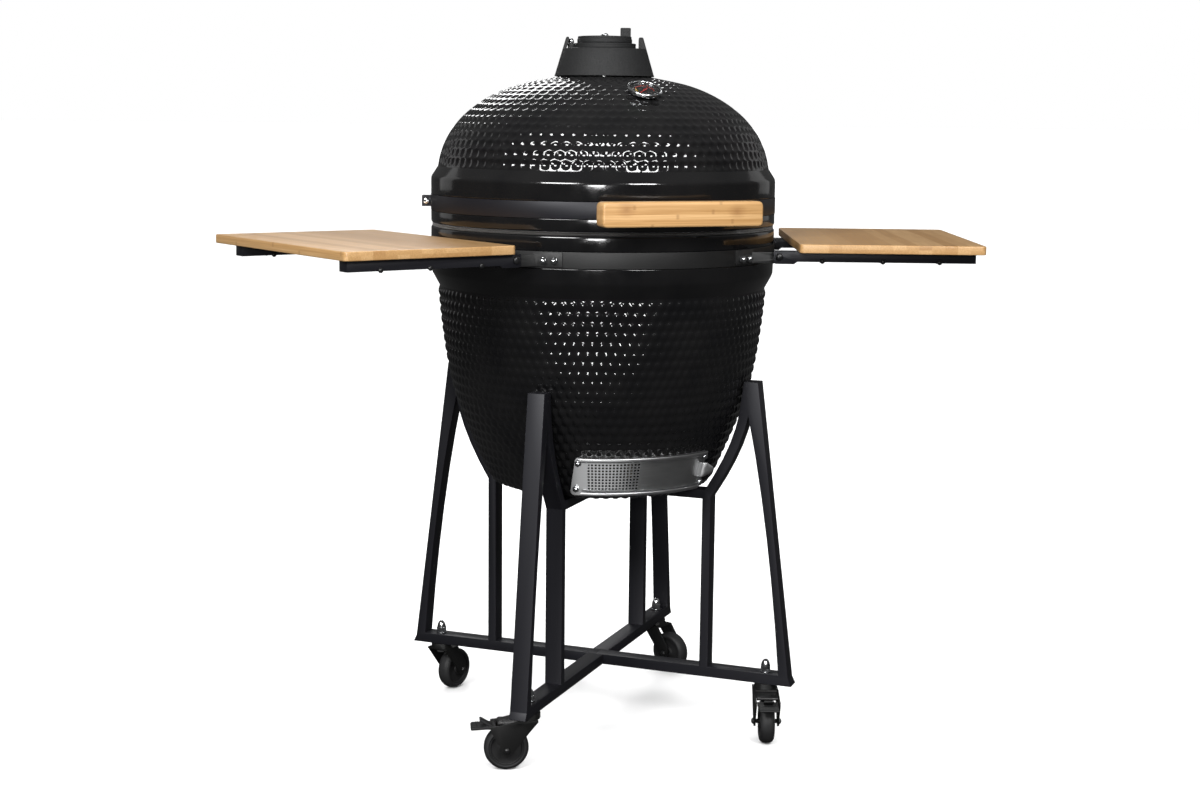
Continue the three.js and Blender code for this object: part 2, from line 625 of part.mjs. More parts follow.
// a flange bolted to the band, and a plate that carries the arm's pin
function shelfBracket(azimuth, y) {
  const start = azimuth + THREE.MathUtils.radToDeg(Math.asin(y / (BAND_R + 2)));
  const towardsFront = start > 0 ? [start - 9, start + 0.4] : [start - 0.4, start + 9];
  const hug = bowlTurn(ring(BAND_R + GAP, BAND_R + 3.3, 838, 861));
  const flange = common(hug, sector(...towardsFront, 830, 870));
  const plate = outlineShape([
    [200, 838], [292, 838], [300, 844], [303, 848], [303, 852], [300, 856], [292, 856.5], [200, 856.5],
  ]);
  const hole = crossRod(3.8, 30, 8).translate(SHELF.pivotR, 0, SHELF.pivotZ);
  const support = at(azimuth, cut(upright(plate, 5), hole).translate(0, y, 0));
  const heads = [3.2, 6.6].map((step) => {
    const place = start > 0 ? start - step : start + step;
    return at(place, crossRod(5, 7, 6).rotateZ(Math.PI / 2).translate(BAND_R + 4, 0, 849.5));
  });
  return join(flange, cut(support, baseBandClear), ...heads);
}

for (const [side, shelf] of Object.entries(SHELVES)) {
  piece(`shelf_board_${side}`, bamboo(), at(shelf.azimuth, shelfBoard(shelf)));
  for (const [end, y] of Object.entries(shelf.arms)) {
    const outer = shelf.inner + SHELF.depth - ARM.inset;
    piece(`shelf_arm_${side}_${end}`, powderCoat(), at(shelf.azimuth, shelfArm(y, outer)));
    piece(`shelf_bracket_${side}_${end}`, powderCoat(), shelfBracket(shelf.azimuth, y));
  }
}

export default model;
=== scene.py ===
"""Kamado ceramic grill: the looks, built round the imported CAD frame. Metres, +Z up, front towards -Y."""
import json
from contextlib import contextmanager
from math import asin, atan2, cos, degrees, hypot, pi, radians, sin, sqrt

import bmesh
import bpy
import numpy as np
from mathutils import Matrix, Vector

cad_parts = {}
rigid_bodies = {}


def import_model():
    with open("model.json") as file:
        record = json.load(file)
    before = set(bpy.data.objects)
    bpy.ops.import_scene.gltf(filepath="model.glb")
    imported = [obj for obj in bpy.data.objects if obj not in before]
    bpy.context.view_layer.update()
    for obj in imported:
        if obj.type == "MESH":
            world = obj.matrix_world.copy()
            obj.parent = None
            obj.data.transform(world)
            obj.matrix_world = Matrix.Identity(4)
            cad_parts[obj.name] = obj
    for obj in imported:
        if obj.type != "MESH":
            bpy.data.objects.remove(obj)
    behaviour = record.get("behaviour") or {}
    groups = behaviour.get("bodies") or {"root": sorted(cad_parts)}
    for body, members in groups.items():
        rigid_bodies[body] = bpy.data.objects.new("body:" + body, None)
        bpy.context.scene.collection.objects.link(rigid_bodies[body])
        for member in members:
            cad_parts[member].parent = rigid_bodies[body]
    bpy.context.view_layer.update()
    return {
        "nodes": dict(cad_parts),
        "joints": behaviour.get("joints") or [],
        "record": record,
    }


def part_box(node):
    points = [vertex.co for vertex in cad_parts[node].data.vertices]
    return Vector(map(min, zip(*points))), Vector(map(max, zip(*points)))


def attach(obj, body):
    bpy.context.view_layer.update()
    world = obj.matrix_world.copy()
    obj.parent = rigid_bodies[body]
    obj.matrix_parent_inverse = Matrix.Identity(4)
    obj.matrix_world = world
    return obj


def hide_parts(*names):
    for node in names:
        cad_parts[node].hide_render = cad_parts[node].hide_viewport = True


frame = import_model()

NODES = frame["nodes"]
JOINTS = {joint["name"]: joint for joint in frame["joints"]}
BODY_OF = {node: body for body, nodes in frame["record"]["behaviour"]["bodies"].items() for node in nodes}
SLOT_OF = {entry["node"]: entry["material_slot"] for entry in frame["record"]["subparts"]}

AXIS = Vector(JOINTS["draft_door_slide"]["pos_m"])
AXIS.z = 0.0
STAND_TURN = 2.9                 # degrees; the stand and the bowl on it stand turned by this
PORT_AZIMUTH = -15.5             # degrees; the middle of the air port, from the front towards +X
PORT_HALF, PORT_LOW, PORT_HIGH = 0.040, 0.455, 0.506     # the air port through the bowl's wall
TO_X = Matrix.Rotation(pi / 2, 4, "Y")                   # lays a piece's own +Z along +X
ON_EDGE = Matrix.Rotation(pi / 2, 4, "X")                # stands a flat plate up, facing -Y
CORNERS = ("front_left", "front_right", "rear_right", "rear_left")
SHELF_ENDS = {"left": ("rear", "front"), "right": ("front", "rear")}


# ---------------------------------------------------------------- shader helpers
class Shader:
    """A material with a Principled shader, and short calls for the nodes that feed it."""

    def __init__(self, name, **sockets):
        self.material = bpy.data.materials.new(name)
        self.material.use_nodes = True
        self.tree = self.material.node_tree
        self.shader = self.tree.nodes["Principled BSDF"]
        for socket, value in sockets.items():
            self.shader.inputs[socket.replace("_", " ")].default_value = value

    def node(self, kind, inputs=None, **settings):
        node = self.tree.nodes.new(kind)
        for key, value in settings.items():
            setattr(node, key, value)
        for key, value in (inputs or {}).items():
            if isinstance(value, bpy.types.NodeSocket):
                self.tree.links.new(value, node.inputs[key])
            else:
                node.inputs[key].default_value = value
        return node

    def coordinates(self, scale=(1, 1, 1)):
        coordinate = self.node("ShaderNodeTexCoord")
        mapping = self.node("ShaderNodeMapping", {"Vector": coordinate.outputs["Object"], "Scale": scale})
        return mapping.outputs["Vector"]

    def noise(self, scale, detail=4.0, rough=0.5, vector=None):
        inputs = {"Scale": scale, "Detail": detail, "Roughness": rough,
                  "Vector": vector or self.coordinates()}
        return self.node("ShaderNodeTexNoise", inputs).outputs["Fac"]

    def ramp(self, value, stops):
        """A value through a colour ramp; stops are (place, colour or grey)."""
        node = self.node("ShaderNodeValToRGB", {"Fac": value})
        elements = node.color_ramp.elements
        while len(elements) < len(stops):
            elements.new(0.5)
        for element, (place, colour) in zip(elements, stops):
            element.position = place
            grey = isinstance(colour, (int, float))
            element.color = (colour, colour, colour, 1) if grey else (*colour, 1)
        return node.outputs["Color"]

    def mix(self, share, first, second, blend="MIX"):
        node = self.node("ShaderNodeMix", data_type="RGBA", blend_type=blend)
        for index, value in ((0, share), (6, first), (7, second)):
            if isinstance(value, bpy.types.NodeSocket):
                self.tree.links.new(value, node.inputs[index])
            else:
                node.inputs[index].default_value = value if index == 0 else (*value, 1)
        return node.outputs[2]

    def math(self, operation, first, second=0.0):
        return self.node("ShaderNodeMath", {0: first, 1: second}, operation=operation).outputs[0]

    def set(self, socket, value):
        self.tree.links.new(value, self.shader.inputs[socket])

    def bump(self, height, strength, distance):
        inputs = {"Height": height, "Strength": strength, "Distance": distance}
        below = self.shader.inputs["Normal"].links
        if below:
            inputs["Normal"] = below[0].from_socket
        self.set("Normal", self.node("ShaderNodeBump", inputs).outputs["Normal"])


# ---------------------------------------------------------------- materials
def glaze_material():
    s = Shader("black_glaze", Coat_Weight=0.35, Coat_Roughness=0.05, IOR=1.5)
    cloud = s.noise(14, 3)
    s.set("Base Color", s.ramp(cloud, [(0.3, (0.0040, 0.0040, 0.0045)), (0.7, (0.0080, 0.0078, 0.0080))]))
    s.set("Roughness", s.ramp(s.noise(55, 5), [(0.3, 0.08), (0.72, 0.17)]))
    s.bump(s.noise(240, 3), 0.10, 0.0006)
    s.bump(s.noise(34, 2), 0.16, 0.0016)
    return s.material


def refractory_material():
    s = Shader("refractory")
    grains = s.noise(420, 6, 0.7)
    s.set("Base Color", s.mix(s.noise(12, 5), (0.36, 0.29, 0.21), (0.50, 0.42, 0.32)))
    s.set("Roughness", s.ramp(grains, [(0.2, 0.82), (0.8, 0.96)]))
    s.bump(grains, 0.5, 0.0008)
    return s.material


def powder_coat_material(name="powder_coat", gain=1.0):
    s = Shader(name, Specular_IOR_Level=0.45)
    peel = s.noise(900, 3, 0.6)
    s.set("Base Color", s.ramp(s.noise(30, 4), [(0.3, 0.0074 * gain), (0.7, 0.0108 * gain)]))
    s.set("Roughness", s.ramp(peel, [(0.25, 0.40), (0.75, 0.56)]))
    s.bump(peel, 0.35, 0.0003)
    return s.material


def gloss_black_material():
    s = Shader("caster_black", Specular_IOR_Level=0.5)
    tones = [(0.3, (0.0075, 0.0075, 0.008)), (0.7, (0.014, 0.014, 0.0145))]
    s.set("Base Color", s.ramp(s.noise(40, 4), tones))
    s.set("Roughness", s.ramp(s.noise(160, 5), [(0.3, 0.26), (0.75, 0.42)]))
    s.bump(s.noise(700, 3), 0.15, 0.0003)
    return s.material


def cast_iron_material():
    s = Shader("cast_iron", Specular_IOR_Level=0.30)
    grain = s.noise(520, 6, 0.75)
    s.set("Base Color", s.ramp(grain, [(0.3, (0.009, 0.0091, 0.0094)), (0.72, (0.028, 0.0284, 0.029))]))
    s.set("Roughness", s.ramp(s.noise(25, 5), [(0.2, 0.52), (0.8, 0.66)]))
    s.bump(grain, 0.7, 0.0009)
    s.bump(s.noise(70, 3), 0.25, 0.001)
    return s.material


def steel_material(name, colour, stretch, rough):
    """Brushed metal: streaks run along the axis whose stretch is small."""
    s = Shader(name, Metallic=1.0)
    streaks = s.noise(1.0, 6, 0.7, s.coordinates(stretch))
    dark = tuple(channel * 0.75 for channel in colour)
    s.set("Base Color", s.mix(streaks, dark, colour))
    s.set("Roughness", s.ramp(streaks, [(0.25, rough - 0.06), (0.8, rough + 0.10)]))
    s.bump(streaks, 0.12, 0.0003)
    return s.material


def chrome_material():
    s = Shader("chrome", Metallic=1.0)
    haze = s.noise(90, 4)
    s.set("Base Color", s.mix(haze, (0.60, 0.61, 0.63), (0.78, 0.79, 0.80)))
    s.set("Roughness", s.ramp(haze, [(0.3, 0.12), (0.8, 0.26)]))
    return s.material


def felt_material():
    s = Shader("felt", Roughness=0.95, Sheen_Weight=0.3)
    fibres = s.noise(1500, 4, 0.7)
    s.set("Base Color", s.ramp(fibres, [(0.3, (0.010, 0.0095, 0.009)), (0.75, (0.045, 0.043, 0.040))]))
    s.bump(fibres, 0.8, 0.0008)
    return s.material


def rubber_material(name, low, high):
    s = Shader(name, Specular_IOR_Level=0.35)
    s.set("Base Color", s.ramp(s.noise(45, 5), [(0.3, low), (0.7, high)]))
    s.set("Roughness", s.ramp(s.noise(380, 4), [(0.3, 0.48), (0.75, 0.68)]))
    s.bump(s.noise(800, 3), 0.3, 0.0003)
    return s.material


BAMBOO_LAYER = 0.0075            # thickness of one layer of strips
BAMBOO_NODE_PITCH = 0.23         # from one growth ring to the next
KNOT_SIZE = (0.025, 0.019)       # reach of a knot along the grain and up


def bamboo_material(name, strip=0.021, grain_axis=1, gain=1.0, knots=()):
    """Laminated bamboo: strips side by side, each of its own tone, with fibres and growth nodes.
    Fibres run along grain_axis of the piece's own space, and the strips lie across it; knots are
    (along, up) places of larger brown nodes."""
    s = Shader(name, Coat_Weight=0.25, Coat_Roughness=0.25)
    coordinate = s.node("ShaderNodeTexCoord").outputs["Object"]
    axes = s.node("ShaderNodeSeparateXYZ", {0: coordinate})
    along = axes.outputs[grain_axis]
    across = axes.outputs[1 - grain_axis]
    up = axes.outputs[2]
    index = s.math("FLOOR", s.math("DIVIDE", across, strip))
    layer = s.math("FLOOR", s.math("DIVIDE", up, BAMBOO_LAYER))
    lane = s.math("ADD", index, s.math("MULTIPLY", layer, 7.3))
    tone = s.node("ShaderNodeTexWhiteNoise", {"W": lane}, noise_dimensions="1D").outputs["Value"]
    # long fibres: noise squeezed across the grain and shifted from strip to strip
    squeeze, stretch, strip_shift = 520.0, 9.0, 5.1
    shifted = s.node("ShaderNodeCombineXYZ", {
        0: s.math("MULTIPLY", across, squeeze),
        1: s.math("ADD", s.math("MULTIPLY", along, stretch), s.math("MULTIPLY", lane, strip_shift)),
        2: s.math("MULTIPLY", up, squeeze)}).outputs[0]
    fibres = s.noise(1.0, 5.0, 0.6, shifted)
    # a darker growth ring crosses each strip at its own place
    phase = s.math("ADD", s.math("DIVIDE", along, BAMBOO_NODE_PITCH), s.math("MULTIPLY", tone, 17.0))
    saw = s.math("ABSOLUTE", s.math("SUBTRACT", s.math("FRACT", phase), 0.5))
    knot = s.ramp(saw, [(0.0, 1.0), (0.006, 0.75), (0.016, 0.0)])
    tones = [(0.0, (0.52, 0.305, 0.125)), (0.5, (0.60, 0.370, 0.165)), (1.0, (0.68, 0.440, 0.215))]
    base = s.ramp(tone, [(at, tuple(channel * gain for channel in colour)) for at, colour in tones])
    fibre_tint = s.ramp(fibres, [(0.25, (0.70, 0.62, 0.50)), (0.75, (1.08, 1.06, 1.04))])
    wood = s.mix(1.0, base, fibre_tint, "MULTIPLY")
    wood = s.mix(s.math("MULTIPLY", knot, 0.5), wood, (0.30, 0.145, 0.050))
    for middle, level in knots:
        aside = s.math("DIVIDE", s.math("SUBTRACT", along, middle), KNOT_SIZE[0])
        above = s.math("DIVIDE", s.math("SUBTRACT", up, level), KNOT_SIZE[1])
        squares = s.math("MULTIPLY", aside, aside), s.math("MULTIPLY", above, above)
        away = s.math("SQRT", s.math("ADD", *squares))
        ragged = s.math("ADD", away, s.math("MULTIPLY", fibres, 0.5))
        wood = s.mix(s.ramp(ragged, [(0.30, 0.80), (0.62, 0.35), (1.0, 0.0)]), wood, (0.36, 0.175, 0.060))
    s.set("Base Color", wood)
    s.set("Roughness", s.ramp(fibres, [(0.3, 0.34), (0.75, 0.52)]))
    edge = s.math("ABSOLUTE", s.math("SUBTRACT", s.math("FRACT", s.math("DIVIDE", across, strip)), 0.5))
    s.bump(s.ramp(edge, [(0.478, 1.0), (0.5, 0.0)]), 0.25, 0.0002)
    s.bump(fibres, 0.2, 0.0002)
    return s.material


def glass_material():
    s = Shader("gauge_glass", Roughness=0.02, Transmission_Weight=1.0, IOR=1.2)
    s.set("Base Color", s.ramp(s.noise(30, 2), [(0.3, 0.94), (0.7, 0.99)]))
    return s.material


def paint_material(name, colour, rough=0.5):
    s = Shader(name)
    dark = tuple(channel * 0.8 for channel in colour)
    s.set("Base Color", s.mix(s.noise(200, 4), dark, colour))
    s.set("Roughness", s.ramp(s.noise(500, 3), [(0.3, rough - 0.08), (0.7, rough + 0.08)]))
    return s.material


MATERIALS = {
    "black_glaze": glaze_material(),
    "refractory": refractory_material(),
    "powder_coat": powder_coat_material(),
    "caster_steel": gloss_black_material(),
    "cast_iron": cast_iron_material(),
    "stainless": steel_material("stainless", (0.66, 0.665, 0.67), (30, 30, 900), 0.34),
    "spring_steel": steel_material("spring_steel", (0.30, 0.30, 0.31), (300, 900, 900), 0.40),
    "chrome": chrome_material(),
    "felt": felt_material(),
    "wheel_rubber": rubber_material("wheel_rubber", (0.016, 0.016, 0.0165), (0.028, 0.028, 0.029)),
    "pedal_plastic": rubber_material("pedal_plastic", (0.012, 0.012, 0.0125), (0.020, 0.020, 0.0205)),
    "bamboo": bamboo_material("bamboo"),
    "gauge_glass": glass_material(),
    "needle_red": paint_material("needle_red", (0.60, 0.02, 0.015), 0.4),
}
BRACKET_GREY = powder_coat_material("bracket_coat", 2.2)
HUB_BLACK = rubber_material("hub_black", (0.010, 0.010, 0.0105), (0.018, 0.018, 0.0185))
DIAL_BLACK = paint_material("dial_black", (0.012, 0.012, 0.013), 0.45)
DIAL_WHITE = paint_material("dial_white", (0.60, 0.60, 0.58), 0.5)
DIAL_YELLOW = paint_material("dial_yellow", (0.75, 0.55, 0.03), 0.5)
DIAL_RED = paint_material("dial_red", (0.62, 0.035, 0.02), 0.5)


# ---------------------------------------------------------------- piece helpers
def placed(name, data):
    """A new object that holds the data, in the scene."""
    obj = bpy.data.objects.new(name, data)
    bpy.context.scene.collection.objects.link(obj)
    return obj


@contextmanager
def editing(mesh):
    """The mesh as a bmesh, which is written back afterwards."""
    work = bmesh.new()
    work.from_mesh(mesh)
    yield work
    work.to_mesh(mesh)
    work.free()


def new_object(name, verts, faces, sharp=35):
    mesh = bpy.data.meshes.new(name)
    mesh.from_pydata([tuple(v) for v in verts], [], [tuple(f) for f in faces])
    mesh.update()
    obj = placed(name, mesh)
    smooth(obj, sharp)
    return obj


def smooth(obj, sharp=35):
    """Smooth shading, with edges sharper than so many degrees kept crisp."""
    obj.data.shade_smooth()
    obj.data.set_sharp_from_angle(angle=radians(sharp))


def outward(obj):
    """Makes a closed mesh's faces point out of it."""
    with editing(obj.data) as work:
        bmesh.ops.recalc_face_normals(work, faces=work.faces)
    return obj


def modified(obj, kind, **settings):
    """Applies one modifier to a piece."""
    modifier = obj.modifiers.new(kind.lower(), kind)
    for key, value in settings.items():
        setattr(modifier, key, value)
    mesh = bpy.data.meshes.new_from_object(obj.evaluated_get(bpy.context.evaluated_depsgraph_get()))
    obj.modifiers.clear()
    obj.data = mesh
    return obj


def bevelled(obj, width, segments=3, angle=30):
    """Rounds the edges of a piece, and keeps its flat faces flat."""
    with editing(obj.data) as work:
        bmesh.ops.remove_doubles(work, verts=work.verts, dist=1e-6)
        bmesh.ops.dissolve_limit(work, angle_limit=radians(1), verts=work.verts, edges=work.edges)
    modified(obj, "BEVEL", width=width, segments=segments, limit_method="ANGLE",
             angle_limit=radians(angle), harden_normals=False)
    smooth(obj, 50)
    return obj


def joined(name, objects):
    """One object from several; they are already in place."""
    work = bmesh.new()
    materials = []
    for obj in objects:
        mesh = obj.data.copy()
        mesh.transform(obj.matrix_world if obj.parent else obj.matrix_basis)
        offset = len(materials)
        materials.extend(obj.data.materials)
        first = len(work.faces)
        work.from_mesh(mesh)
        work.faces.ensure_lookup_table()
        for face in work.faces[first:]:
            face.material_index += offset
    mesh = bpy.data.meshes.new(name)
    work.to_mesh(mesh)
    work.free()
    for material in materials:
        mesh.materials.append(material)
    result = placed(name, mesh)
    for obj in objects:
        bpy.data.objects.remove(obj)
    return result


def dress(obj, material):
    obj.data.materials.clear()
    obj.data.materials.append(material)
    return obj


def stand_for(obj, *nodes, slot=None, material=None):
    """The piece takes the place of CAD nodes, rides on their body and takes their finish."""
    slot = slot or SLOT_OF[nodes[0]]
    if material or not obj.data.materials:
        dress(obj, material or MATERIALS[slot])
    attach(obj, BODY_OF[nodes[0]])
    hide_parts(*nodes)
    return obj


def extra(obj, node, material):
    """A further piece beside the one that stands for a node."""
    if not obj.data.materials:
        dress(obj, material)
    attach(obj, BODY_OF[node])
    return obj


def softened(node, width=0.0008, segments=2, angle=30, material=None):
    """A CAD node's own shape with its edges rounded."""
    obj = bevelled(placed(node + "_shape", NODES[node].data.copy()), width, segments, angle)
    return stand_for(obj, node, material=material)


def shift(x, y, z):
    return Matrix.Translation((x, y, z))


def about(azimuth):
    """From radius along +X and tangent along +Y to an azimuth about the grill's axis."""
    return Matrix.Translation(AXIS) @ Matrix.Rotation(radians(azimuth - 90), 4, "Z")


def own_space(origin, x, y, z):
    """From a piece's own three axes at an origin to the grill's space."""
    place = Matrix((x, y, z)).transposed().to_4x4()
    place.translation = origin
    return place


def corners(node):
    """A CAD node's vertices."""
    return [v.co for v in NODES[node].data.vertices]


def profile(node):
    """A CAD node's vertices as (radius, height) about the grill's axis."""
    return [(hypot(c.x - AXIS.x, c.y - AXIS.y), c.z) for c in corners(node)]


def levels(node):
    """A CAD node's lowest and highest level."""
    return [corner.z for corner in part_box(node)]


def radii(node):
    """(inner radius, outer radius, lowest, highest) of a ring about the grill's axis."""
    r, z = zip(*profile(node))
    return min(r), max(r), min(z), max(z)


def rectangle(width, height):
    x, y = width / 2, height / 2
    return [(-x, -y), (x, -y), (x, y), (-x, y)]


def mirrored(outline):
    """An outline of (radius, height), carried on as its mirror image above height 0."""
    return outline + [(r, -z) for r, z in reversed(outline)]


def grid(columns, lanes, wrap=False, hole=None):
    """Faces between columns of so many points each, except where hole(column, lane) is true."""
    faces = []
    for i in range(columns - 1):
        for k in range(lanes if wrap else lanes - 1):
            if not (hole and hole(i, k)):
                here, there, n = i * lanes, (i + 1) * lanes, (k + 1) % lanes
                faces.append((here + k, there + k, there + n, here + n))
    return faces


def filleted(outline, radius, steps=3, closed=True):
    """An outline with its corners rounded."""
    points = [Vector(p) for p in outline]
    result = []
    for i, corner in enumerate(points):
        if not closed and i in (0, len(points) - 1):
            result.append(tuple(corner))
            continue
        before = points[i - 1]
        after = points[(i + 1) % len(points)]
        cut = min(radius, 0.45 * (before - corner).length, 0.45 * (after - corner).length)
        start = corner + (before - corner).normalized() * cut
        end = corner + (after - corner).normalized() * cut
        for step in range(steps + 1):
            t = step / steps
            result.append(tuple(start * (1 - t) ** 2 + corner * 2 * t * (1 - t) + end * t * t))
    return result


def revolved(name, outline, sides=128, closed=True, place=None, sharp=35):
    """An outline of (radius, height) turned about +Z of its own space, then put in place."""
    count = len(outline)
    turns = [2 * pi * i / sides for i in range(sides)]
    verts = [(r * cos(a), r * sin(a), z) for a in turns for r, z in outline]
    faces = []
    for i in range(sides):
        j = (i + 1) % sides
        for k in range(count if closed else count - 1):
            n = (k + 1) % count
            faces.append((i * count + k, j * count + k, j * count + n, i * count + n))
    obj = new_object(name, verts, faces, sharp)
    with editing(obj.data) as work:
        bmesh.ops.remove_doubles(work, verts=work.verts, dist=1e-7)
    obj.data.transform(place or Matrix.Translation(AXIS))
    return outward(obj) if closed or outline[0][0] < 1e-6 else obj


def solid_rod(name, r, low, high, place=None):
    """A plain round shank between two levels of its own space."""
    return revolved(name, [(0, low), (r, low), (r, high), (0, high)], 24, False, place)


def swept(name, section, steps, sharp=35):
    """A closed section carried through places; each place maps section points to space."""
    verts = [place(point) for place in steps for point in section]
    count, last = len(section), len(verts) - len(section)
    faces = grid(len(steps), count, wrap=True)
    faces += [tuple(range(count)), tuple(last + k for k in reversed(range(count)))]
    return outward(new_object(name, verts, faces, sharp))


def curve_mesh(name, lines, cyclic, **settings):
    """The mesh of a curve object through lines of points."""
    curve = bpy.data.curves.new(name, "CURVE")
    for key, value in settings.items():
        setattr(curve, key, value)
    for line in lines:
        spline = curve.splines.new("POLY")
        spline.points.add(len(line) - 1)
        for target, point in zip(spline.points, line):
            target.co = (*point, 1)
        spline.use_cyclic_u = cyclic
    source = placed(name + "_curve", curve)
    mesh = bpy.data.meshes.new_from_object(source.evaluated_get(bpy.context.evaluated_depsgraph_get()))
    bpy.data.objects.remove(source)
    return mesh


def plate(name, outlines, low, high, bevel=0.0006, place=None):
    """A flat plate from closed outlines: the first is its edge, and the others are holes."""
    lines = [[(x, y, 0) for x, y in outline] for outline in outlines]
    mesh = curve_mesh(name, lines, True, dimensions="2D", fill_mode="BOTH", extrude=(high - low) / 2 - bevel,
                      bevel_depth=bevel, bevel_resolution=2, offset=-bevel)
    mesh.transform(shift(0, 0, (low + high) / 2))
    obj = placed(name, mesh)
    with editing(mesh) as work:
        bmesh.ops.remove_doubles(work, verts=work.verts, dist=1e-6)
        bmesh.ops.recalc_face_normals(work, faces=work.faces)
    smooth(obj, 40)
    if place:
        mesh.transform(place)
    return obj


def circle(r, count=48, x=0.0, y=0.0, start=0.0, end=360.0):
    whole = abs(end - start - 360) < 1e-6
    steps = count if whole else count + 1
    angles = [radians(start + (end - start) * i / count) for i in range(steps)]
    return [(x + r * cos(a), y + r * sin(a)) for a in angles]


def tube(name, points, radius, sides=10, cyclic=False):
    """A round rod along points."""
    obj = placed(name, curve_mesh(name, [points], cyclic, dimensions="3D", bevel_depth=radius,
                                  bevel_resolution=sides // 2 - 1, use_fill_caps=not cyclic))
    smooth(obj, 60)
    return obj


def meridian(node, azimuth):
    """The (radius, height) corners of a turned CAD node on one of its meridians, and for each corner
    the ones that an edge joins it to."""
    mesh = NODES[node].data
    direction = Vector((sin(radians(azimuth)), -cos(radians(azimuth))))
    index = {}
    points = []
    for v in mesh.vertices:
        flat = Vector((v.co.x - AXIS.x, v.co.y - AXIS.y))
        if abs(flat.cross(direction)) < 2e-5 and flat.dot(direction) > -1e-5:
            key = (round(flat.length, 5), round(v.co.z, 5))
            if key not in points:
                points.append(key)
            index[v.index] = points.index(key)
    links = {i: set() for i in range(len(points))}
    for edge in mesh.edges:
        a, b = (index.get(v) for v in edge.vertices)
        if a is not None and b is not None and a != b:
            links[a].add(b)
            links[b].add(a)
    return points, links


def chain(node, azimuth, start):
    """Walks a meridian from the corner nearest start, upwards on the outside first."""
    points, links = meridian(node, azimuth)
    here = min(links, key=lambda i: hypot(points[i][0] - start[0], points[i][1] - start[1]))
    order = [here]
    options = sorted(links[here], key=lambda i: -points[i][1] - points[i][0])
    while options:
        here = options[0]
        order.append(here)
        options = [i for i in links[here] if i not in order]
    return [points[i] for i in order]


def curve_through(points, count):
    """Evenly spaced points on a smooth curve through the given ones."""
    p = np.array(points, float)
    p = np.vstack([2 * p[0] - p[1], p, 2 * p[-1] - p[-2]])
    fine = []
    for i in range(1, len(p) - 2):
        for t in np.linspace(0, 1, 24, endpoint=False):
            fine.append(0.5 * (2 * p[i] + (p[i + 1] - p[i - 1]) * t
                               + (2 * p[i - 1] - 5 * p[i] + 4 * p[i + 1] - p[i + 2]) * t ** 2
                               + (3 * p[i] - p[i - 1] - 3 * p[i + 1] + p[i + 2]) * t ** 3))
    fine.append(p[-2])
    fine = np.array(fine)
    length = np.concatenate([[0], np.cumsum(np.linalg.norm(np.diff(fine, axis=0), axis=1))])
    even = np.linspace(0, length[-1], count)
    return np.column_stack([np.interp(even, length, fine[:, axis]) for axis in (0, 1)]), length[-1]


# ---------------------------------------------------------------- dimpled ceramic
MESH_AROUND, MESH_ROWS = 720, 132      # the mesh that carries the dimples
DIMPLE_SHARE = 0.47                    # a dimple's reach as a share of its pitch


def dimpled_shell(name, outline, pitch, row_pitch, depth, first, last, quantum, turn, skip=None):
    """An open shell of revolution whose outside carries staggered rows of round dimples.
    first and last are how far along the outline the rows begin and end, and quantum is the step
    by which the number of dimples in a row changes as the shell narrows."""
    around, rows = MESH_AROUND, MESH_ROWS
    points, length = curve_through(outline, rows)
    tangent = np.gradient(points, axis=0)
    tangent /= np.linalg.norm(tangent, axis=1)[:, None]
    normal = np.column_stack([tangent[:, 1], -tangent[:, 0]])
    along = np.linspace(0, length, rows)
    phi = 2 * np.pi * np.arange(around) / around
    push = np.zeros((rows, around))
    for row in range(int((last - first) / row_pitch) + 1):
        middle = first + row * row_pitch
        r = np.interp(middle, along, points[:, 0])
        count = quantum * max(1, round(2 * np.pi * r / pitch / quantum))
        local = 2 * np.pi * r / count
        near = np.abs(along - middle) < row_pitch * 0.62
        stagger = (row % 2) * 0.5
        place = (phi / (2 * np.pi) * count + stagger) % 1.0
        sideways = np.minimum(place, 1 - place) * local / (DIMPLE_SHARE * local * 1.02)
        lengthways = (along[near] - middle) / (DIMPLE_SHARE * row_pitch * 1.06)
        distance = np.sqrt(sideways[None, :] ** 2 + lengthways[:, None] ** 2)
        dent = np.where(distance < 1, (1 - distance ** 2), 0)
        push[near] = np.maximum(push[near], dent * depth * min(1, local / pitch * 1.1))
    r = points[:, 0][:, None] - push * normal[:, 0][:, None]
    z = points[:, 1][:, None] - push * normal[:, 1][:, None]
    angle = phi[None, :] + radians(turn)
    co = np.stack([r * np.cos(angle) + AXIS.x, r * np.sin(angle) + AXIS.y, z + 0 * angle], axis=-1)
    co = co.reshape(-1, 3)
    i, j = np.meshgrid(np.arange(rows - 1), np.arange(around), indexing="ij")
    k = (j + 1) % around
    faces = np.stack([i * around + j, i * around + k, (i + 1) * around + k, (i + 1) * around + j], axis=-1)
    faces = faces.reshape(-1, 4)
    if skip is not None:
        faces = faces[~skip(co[faces].mean(axis=1))]
    mesh = bpy.data.meshes.new(name)
    mesh.vertices.add(len(co))
    mesh.vertices.foreach_set("co", co.astype(np.float32).ravel())
    mesh.loops.add(faces.size)
    mesh.loops.foreach_set("vertex_index", faces.astype(np.int32).ravel())
    mesh.polygons.add(len(faces))
    mesh.polygons.foreach_set("loop_start", np.arange(0, faces.size, 4, dtype=np.int32))
    mesh.update(calc_edges=True)
    mesh.validate()
    mesh.shade_smooth()
    return placed(name, mesh)


def in_port(centres):
    """True where the draft port passes through the bowl."""
    turn = radians(PORT_AZIMUTH)
    x, y = centres[:, 0] - AXIS.x, centres[:, 1] - AXIS.y
    radial = x * sin(turn) - y * cos(turn)
    sideways = x * cos(turn) + y * sin(turn)
    return ((radial > 0.1) & (np.abs(sideways) < PORT_HALF)
            & (centres[:, 2] > PORT_LOW) & (centres[:, 2] < PORT_HIGH))


